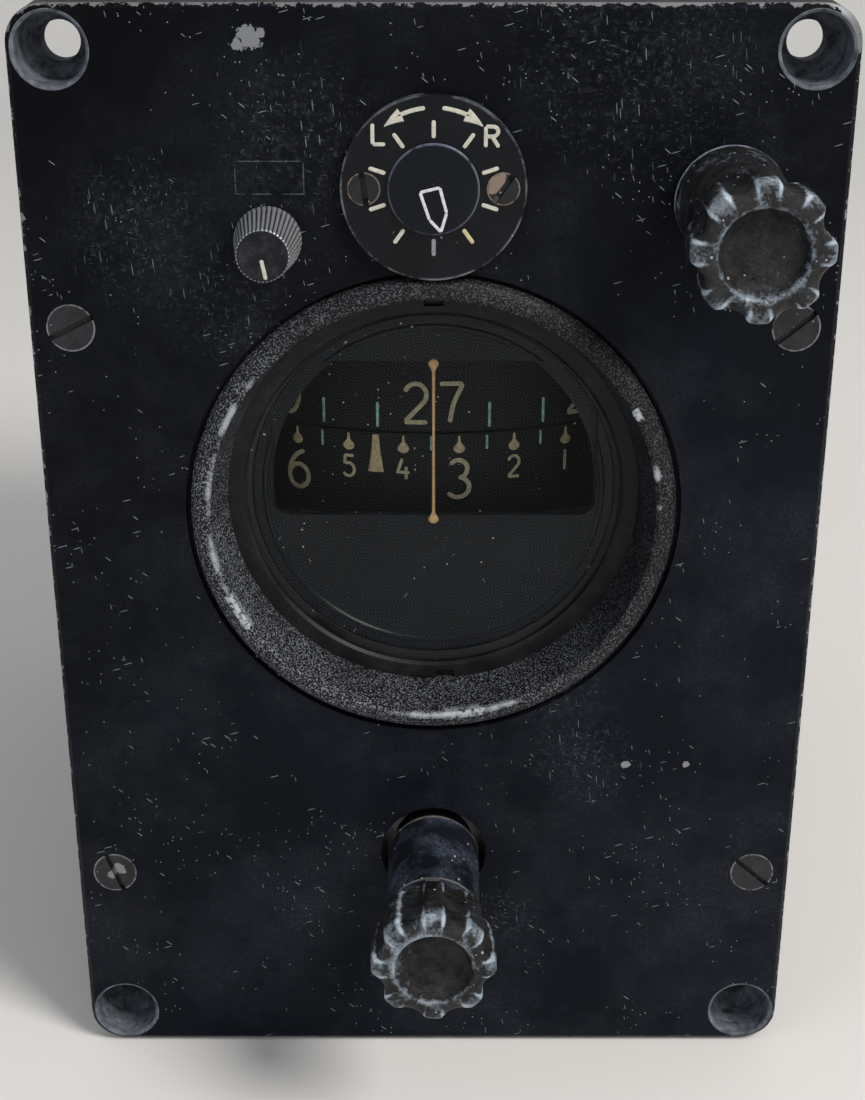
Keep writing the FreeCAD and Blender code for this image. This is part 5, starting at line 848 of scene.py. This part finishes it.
def knurledKnob():
    # cone r(h) with ridges: r = cone(h) + ridge * (|sin(ridges * angle / 2)|^0.8 - 1), none on the skirt and
    # the top; each row is turned by slant * h / height, so the ridges lean
    low, high = boxOf("trim_knob")
    centreX, centreZ = (low[0] + high[0]) / 2, (low[2] + high[2]) / 2
    look = trimLook
    h = np.array([0.0, 0.0, 0.35, 0.7, 0.95, 1.1, 2.5, 4.0, 5.5, 7.0, 8.5, 9.2, 9.6, 9.85, 10.0, look["height"]])
    share = np.array([0, 0, 0, 0, 0.3, 1, 1, 1, 1, 1, 1, 1, 0.8, 0.4, 0.1, 0])
    cone = look["base"] + (look["top"] - look["base"]) * np.clip((h - 1.0) / (look["height"] - 1.0), 0, 1)
    cone[0] = 0.0
    cone[-2] -= 0.16
    cone[-1] -= 0.35
    angle = np.linspace(0, 2 * np.pi, look["across"], endpoint=False)
    wave = np.abs(np.sin(look["ridges"] * angle / 2)) ** 0.8
    radius = cone[:, None] + look["ridge"] * (wave[None] - 1.0) * share[:, None]
    lean = angle[None] + look["slant"] * h[:, None] / look["height"]
    x = centreX + radius * np.cos(lean)
    z = centreZ + radius * np.sin(lean)
    y = np.repeat((high[1] - h)[:, None], len(angle), axis=1)
    flank = np.stack([x, y, z], -1)
    top = np.stack([np.full_like(x[:1], centreX), y[-1:], np.full_like(x[:1], centreZ)], -1)
    piece = makePiece("trimKnobKnurl", [np.concatenate([flank, top])], knurlMetal, "trim_drive")
    cap = np.array([(0.0, 0.0), (0.0, 0.10), (2.0, 0.10), (3.4, 0.10), (3.76, 0.07), (3.86, 0.0), (0.0, 0.0)])
    ring = np.linspace(0, 2 * np.pi, 96, endpoint=False)
    face = low[1]
    disc = np.stack([centreX + cap[1:, :1] * np.cos(ring), face + 0.02 - cap[1:, 1:] + 0 * np.cos(ring),
        centreZ + cap[1:, :1] * np.sin(ring)], -1)
    makePiece("trimKnobCap", [disc], capBlack, "trim_drive")
    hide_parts("trim_knob")
    return face - 0.08


def knurlFinish():
    # Nickel-plated brass, straight-knurled: pale ridge tops as painted highlight and dark grooves as painted shade,
    # dimmed in patches by grime; ridge = |sin(ridges (angle + lean) / 2)|
    material, add, place = startMaterial("knurledNickelPlate")
    low, high = boxOf("trim_knob")
    middle = (low + high) / 2
    centred = add("VectorMath SUBTRACT", {0: place, 1: (middle[0], 0, middle[2])})
    parts = add("SeparateXYZ", {0: centred})
    angle = add("Math ARCTAN2", {0: parts.node.outputs[2], 1: parts})
    rate = trimLook["slant"] / trimLook["height"]
    lean = add("Math MULTIPLY_ADD", {0: parts.node.outputs[1], 1: rate, 2: -high[1] * rate})
    angle = add("Math ADD", {0: angle, 1: lean})
    wave = add("Math MULTIPLY", {0: angle, 1: trimLook["ridges"] / 2})
    wave = add("Math SINE", {0: wave})
    wave = add("Math ABSOLUTE", {0: wave})
    # painted highlight on the ridge tops, painted shade in the grooves
    bright = add("MapRange", {"Value": wave, "From Min": 0.25, "From Max": 0.9})
    grime = cloud(add, place, 3.0, 0.30, 0.65)
    grime = add("MapRange", {"Value": grime, "To Min": 0.45, "To Max": 1.0})
    bright = add("Math MULTIPLY", {0: bright, 1: grime})
    colour = add("Mix", {0: bright, 6: linear(trimLook["groove"]), 7: linear(trimLook["ridgeHighlight"])}, **twoColours)
    metallic = add("Math MULTIPLY", {0: bright, 1: 0.7})
    shader = add("BsdfPrincipled", {"Base Color": colour, "Roughness": 0.42, "Metallic": metallic})
    add("OutputMaterial", {"Surface": shader})
    return material


knurlMetal = knurlFinish()
# Black paint on the knob's flat top, rubbed to a grey sheen
capLook = dict(dialLook, paint="#0f1114", paintTwo="#17191d", dust="#7b8087", hazeShare=0.35, hazeSize=3.0, roughness=0.4)
capBlack = wornFinish("rubbedCapBlack", capLook)
capY = knurledKnob()
indexGrids = [strokeGrid(trimLook["index"], trimLook["indexHalf"], 0.05, onFace(capY))]
makePiece("trimKnobIndex", indexGrids, creamPaint, "trim_drive")
print("trim knob made")

# Marks on the trim dial

dialLowC, dialHighC = boxOf("dial_plate")
dialX, dialZ, dialFace = (dialLowC[0] + dialHighC[0]) / 2, (dialLowC[2] + dialHighC[2]) / 2, dialLowC[1]
dialMarks = {"bars": 10, "barStart": 7.65, "barEnd": 10.35, "barHalf": 0.32, "lift": 0.04, "letterHeight": 3.1,
    "letterHalf": 0.30}


def polar(radius, degrees):
    # a point on the dial, degrees clockwise from the top
    turn = math.radians(degrees)
    return (dialX + radius * math.sin(turn), dialZ + radius * math.cos(turn))


carryDial = onFace(dialFace)
bars = {"dialBarsCream": [], "dialBarGrey": [], "dialBarStraw": []}
for number in range(dialMarks["bars"]):
    turn = 360 / dialMarks["bars"] * number
    key = {5: "dialBarGrey", 4: "dialBarStraw"}.get(number, "dialBarsCream")
    bars[key].append(strokeGrid([polar(dialMarks["barStart"], turn), polar(dialMarks["barEnd"], turn)],
        dialMarks["barHalf"], dialMarks["lift"], carryDial))
for side in (-1, 1):
    shaft = np.array([polar(12.2, side * a) for a in np.linspace(6, 26, 12)])
    head = np.array([polar(12.15 - 0.012 * (a - 23), side * a) for a in np.linspace(23.5, 38.5, 8)])
    bars["dialBarsCream"].append(strokeGrid(shaft, 0.33, dialMarks["lift"], carryDial))
    bars["dialBarsCream"].append(strokeGrid(head, 1.0, dialMarks["lift"], carryDial,
        [(0, 0.0), (0.02, 1.05), (0.1, 1.0), (0.97, 0.07), (1, 0.0)]))
bars["dialBarsCream"] += writeSigns("L", dialX - 8.25, dialZ + 6.75, dialMarks["letterHeight"], 0, dialMarks["letterHalf"],
    dialMarks["lift"], carryDial, 1.0)
bars["dialBarsCream"] += writeSigns("R", dialX + 8.75, dialZ + 6.3, dialMarks["letterHeight"], 0, dialMarks["letterHalf"],
    dialMarks["lift"], carryDial, 1.0)
makePiece("dialBarsCream", bars["dialBarsCream"], creamPaint, "instrument_case")
makePiece("dialBarGrey", bars["dialBarGrey"], greyPaint, "instrument_case")
makePiece("dialBarStraw", bars["dialBarStraw"], strawPaint, "instrument_case")

pointerFace = boxOf("dial_pointer")[0][1]
corners = [(-2.07, -0.35), (0.92, 0.38), (1.97, -3.51), (1.11, -6.40), (-0.64, -4.56)]
outline = [
    strokeGrid([(dialX + a[0], dialZ + a[1]), (dialX + b[0], dialZ + b[1])], 0.24, 0.04, onFace(pointerFace))
    for a, b in zip(corners, corners[1:] + corners[:1])
]
makePiece("pointerOutline", outline, whitePaint, "trim_pointer")
print("dial marked")

# Marks on the two cards

cardMarks = {
    "courseReading": 270.0, "headingReading": 34.6, "lift": 0.04, "bigHeight": 6.9, "bigHalf": 0.40,
    "smallHeight": 3.8, "smallHalf": 0.27, "courseBase": 22.5, "courseTickLow": 21.4, "courseTickHigh": 25.9,
    "headingTickLow": 17.4, "headingTickHigh": 20.0, "dropTop": 20.0, "dropLow": 16.8, "bigBase": 8.7,
    "smallBase": 12.0, "wedgeTop": 20.0, "wedgeLow": 13.1,
}
lowerLow, lowerHigh = boxOf("azimuth_card")
cardRadius = (lowerHigh[0] - lowerLow[0]) / 2
cardAxisY = (lowerLow[1] + lowerHigh[1]) / 2
carryCard = onCard(cardRadius, cardAxisY)


def along(reading, atLubber):
    # arc length to the right of the lubber line; readings grow to the left
    turn = (atLubber - reading + 180) % 360 - 180
    return math.radians(turn) * cardRadius


marks = cardMarks
courseNumbers, courseTicks, headingDrops, headingNumbers, headingTicks = [], [], [], [], []
for tens in range(36):
    a = along(10 * tens, marks["courseReading"])
    if tens % 3 == 0:
        courseNumbers += writeSigns(str(tens), a, marks["courseBase"], marks["bigHeight"], 2.1, marks["bigHalf"],
            marks["lift"], carryCard, 0.95)
    else:
        courseTicks.append(strokeGrid([(a, marks["courseTickLow"]), (a, marks["courseTickHigh"])], 0.24, marks["lift"],
            carryCard))
    b = along(10 * tens, marks["headingReading"])
    drop = [(0, 0.0), (0.02, 0.18), (0.38, 0.28), (0.5, 0.62), (0.62, 0.92), (0.76, 1.02), (0.88, 0.82), (0.96, 0.45),
        (1, 0.0)]
    headingDrops.append(strokeGrid([(b, marks["dropTop"]), (b, marks["dropLow"])], 1.0, marks["lift"], carryCard, drop))
    big = tens % 3 == 0
    size = "big" if big else "small"
    headingNumbers += writeSigns(str(tens), b, marks[size + "Base"], marks[size + "Height"], 1.6 if big else 0.9,
        marks[size + "Half"], marks["lift"], carryCard)
    c = along(10 * tens + 5, marks["headingReading"])
    if tens == 4:
        wedge = [(0, 0.0), (0.01, 0.55), (0.5, 0.85), (0.97, 1.4), (0.99, 1.3), (1, 0.0)]
        headingDrops.append(strokeGrid([(c, marks["wedgeTop"]), (c, marks["wedgeLow"])], 1.0, marks["lift"], carryCard,
            wedge))
    else:
        headingTicks.append(strokeGrid([(c, marks["headingTickLow"]), (c, marks["headingTickHigh"])], 0.20, marks["lift"],
            carryCard))
makePiece("courseNumerals", courseNumbers, numberPaint, "course_drum")
makePiece("courseTicks", courseTicks, tealPaint, "course_drum")
makePiece("headingDrops", headingDrops, tanPaint, "gyro_gimbal")
makePiece("headingNumerals", headingNumbers, numberPaint, "gyro_gimbal")
makePiece("headingTicks", headingTicks, tealPaint, "gyro_gimbal")

# Lubber line: a flat wire with a round foot at each end

lineLow, lineHigh = boxOf("lubber_line")
foot = (lineHigh[0] - lineLow[0]) / 2
reachZ = lineHigh[2] - lineLow[2]
wireShape = [(0, 0.0), (0.006, 0.45), (0.02, 0.85), (0.035, 0.85), (0.055, 0.5), (0.075, 0.26), (0.5, 0.22), (0.925, 0.26),
    (0.945, 0.5), (0.965, 0.85), (0.98, 0.85), (0.994, 0.45), (1, 0.0)]
lubber = makePiece("lubberWire", [strokeGrid([(0.0, lineLow[2]), (0.0, lineHigh[2])], foot, lineHigh[1] - lineLow[1],
    onFace(lineHigh[1]), wireShape)], wirePaint, "instrument_case")
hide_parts("lubber_line")
print("cards marked")

# Pipe threads on the unions

threadLook = {
    "vacuumThread": {"node": "vacuum_union", "sides": [0.0], "radius": 8.0, "length": 8.6, "pitch": 1.4,
        "depth": 0.6},
    "outletThreads": {"node": "outlet_unions", "sides": [-15.0, 15.0], "radius": 5.5, "length": 6.8, "pitch": 1.1,
        "depth": 0.5},
}


def threadGrid(x, z, radius, start, stop, pitch, depth):
    # helix: r = radius + depth * tri(y / pitch - angle / 2 pi) / 2, run out at both ends
    angle = np.linspace(0, 2 * np.pi, 72, endpoint=False)
    y = np.linspace(start, stop, int((stop - start) / pitch * 12))
    phase = (y[:, None] / pitch - angle[None] / (2 * np.pi)) % 1.0
    tri = 1 - np.abs(2 * phase - 1)
    fade = np.clip(np.minimum(y - start, stop - y) / pitch, 0, 1)[:, None]
    radius = radius + 0.02 + depth * (tri - 0.5) * fade * 0.5
    return np.stack([x + radius * np.cos(angle), np.repeat(y[:, None], 72, axis=1), z + radius * np.sin(angle)], -1)


def closedThread(grid, radius, x, z):
    # an inner wall closes the sleeve, so that it is a thin tube round the union
    first, last = grid[:1].copy(), grid[-1:].copy()
    for end in (first, last):
        turn = np.arctan2(end[..., 2] - z, end[..., 0] - x)
        end[..., 0] = x + (radius - 0.3) * np.cos(turn)
        end[..., 2] = z + (radius - 0.3) * np.sin(turn)
    return np.concatenate([first, grid, last, first])


for name, look in threadLook.items():
    low, high = boxOf(look["node"])
    z, stop = (low[2] + high[2]) / 2, high[1] - 0.4
    grids = [
        closedThread(threadGrid(x, z, look["radius"], stop - look["length"], stop, look["pitch"], look["depth"]),
            look["radius"], x, z)
        for x in look["sides"]
    ]
    makePiece(name, grids, brass, "instrument_case")
print("threads cut")

# Finishes on the CAD nodes

wearers = [
    (panelEnamel, "front_panel"),
    (ringEnamel, "bezel_ring"),
    (maskEnamel, "mask_plate"),
    (retainerEnamel, "retaining_ring"),
    (glass, "window_glass"),
    (dialBlack, "dial_plate"),
    (pointerBlack, "dial_pointer"),
    (screwPaint, "panel_screws"),
    (dialScrewPaint, "dial_screws"),
    (cardBlack, "azimuth_card course_card"),
    (sleeveFinish, "caging_sleeve"),
    (caseEnamel, "case_body rear_cover top_post lower_cup relay_body"),
    (rubber, "glass_gasket front_gasket rear_gasket friction_wheel"),
    (brass, "vacuum_union outlet_unions air_filter worm_wheel caging_bush rudder_bush card_collar idler_gear pickoff_block"),
    (alloy, "sync_disc vertical_ring housing_cup housing_cover worm_bracket caging_plate pickoff_vane"),
    (steel, "rotor"),
    (copper, "pickoff_pipes"),
    (zincSteel, "rear_screws post_screws mask_screws small_screws"),
]
finishOf = {name: material for material, names in wearers for name in names.split()}
for name in nodes:
    dress(name, finishOf.get(name, steel))

# Studio

studio = {
    "floor": "#dedddb", "world": 0.52, "keyPower": 19.0, "keyPlace": (0.80, -0.67, 1.00), "keySize": 0.55,
    "fillPower": 3.5, "fillPlace": (-1.20, -1.05, 0.95), "fillSize": 1.1, "keyColour": "#fffaf4",
    "fillColour": "#eaf1ff", "worldColour": "#f4f5f7",
}


def addLamp(name, place, aim, power, size, hexCode):
    # a round lamp that looks from place to aim
    lamp = bpy.data.lights.new(name, "AREA")
    lamp.shape = "DISK"
    lamp.energy = power
    lamp.size = size
    lamp.color = linear(hexCode)[:3]
    holder = bpy.data.objects.new(name, lamp)
    holder.location = place
    holder.rotation_euler = (Vector(aim) - Vector(place)).to_track_quat("-Z", "Y").to_euler()
    scene.collection.objects.link(holder)


addLamp("keyLamp", studio["keyPlace"], (0, 0, 0.02), studio["keyPower"], studio["keySize"], studio["keyColour"])
addLamp("fillLamp", studio["fillPlace"], (0, 0, 0), studio["fillPower"], studio["fillSize"], studio["fillColour"])

world = bpy.data.worlds.new("studioWorld")
scene.world = world
world.use_nodes = True
world.node_tree.nodes.clear()
behind = addNode(world.node_tree, "Background", {"Color": linear(studio["worldColour"]), "Strength": studio["world"]})
addNode(world.node_tree, "OutputWorld", {"Surface": behind})


def studioFloor():
    # a sweep: flat to y = 0.9 m, then a quarter round of radius 0.6 m, then upright; far out on the other sides
    drop = cadLow.z - 0.0005
    t = np.linspace(0, np.pi / 2, 24)
    ys = np.concatenate([[-14.0, -3.0, -1.0, 0.5], 0.9 + 0.6 * np.sin(t), [1.5]])
    zs = np.concatenate([[0, 0, 0, 0], 0.6 - 0.6 * np.cos(t), [3.0]]) + drop
    xs = np.linspace(-14, 14, 29)
    grid = np.stack(np.broadcast_arrays(xs[None], ys[:, None], zs[:, None]), -1)
    rows, columns = grid.shape[:2]
    index = np.arange(rows * columns).reshape(rows, columns)
    quads = np.stack([index[:-1, :-1], index[:-1, 1:], index[1:, 1:], index[1:, :-1]], -1).reshape(-1, 4)
    mesh = bpy.data.meshes.new("studioFloor")
    mesh.from_pydata(grid.reshape(-1, 3).tolist(), [], quads.tolist())
    mesh.polygons.foreach_set("use_smooth", np.full(len(mesh.polygons), True))
    material, add, place = startMaterial("paperSweep")
    shader = add("BsdfPrincipled", {"Base Color": linear(studio["floor"]), "Roughness": 0.9, "Specular IOR Level": 0.1})
    add("OutputMaterial", {"Surface": shader})
    mesh.materials.append(material)
    floor = bpy.data.objects.new("studioFloor", mesh)
    scene.collection.objects.link(floor)


studioFloor()

# Camera, at the photograph's place

cameraLook = {"place": (-0.00017, -0.2929, 0.1291), "pitch": 66.3, "lens": 60.5, "sensor": 36.0}
cameraData = bpy.data.cameras.new("camera")
cameraData.sensor_width = cameraLook["sensor"]
cameraData.lens = cameraLook["lens"]
cameraData.clip_start = 0.01
camera = bpy.data.objects.new("camera", cameraData)
camera.location = cameraLook["place"]
camera.rotation_euler = (math.radians(cameraLook["pitch"]), 0, 0)
scene.collection.objects.link(camera)
scene.camera = camera
scene.view_settings.view_transform = "Standard"

print("scene ready")
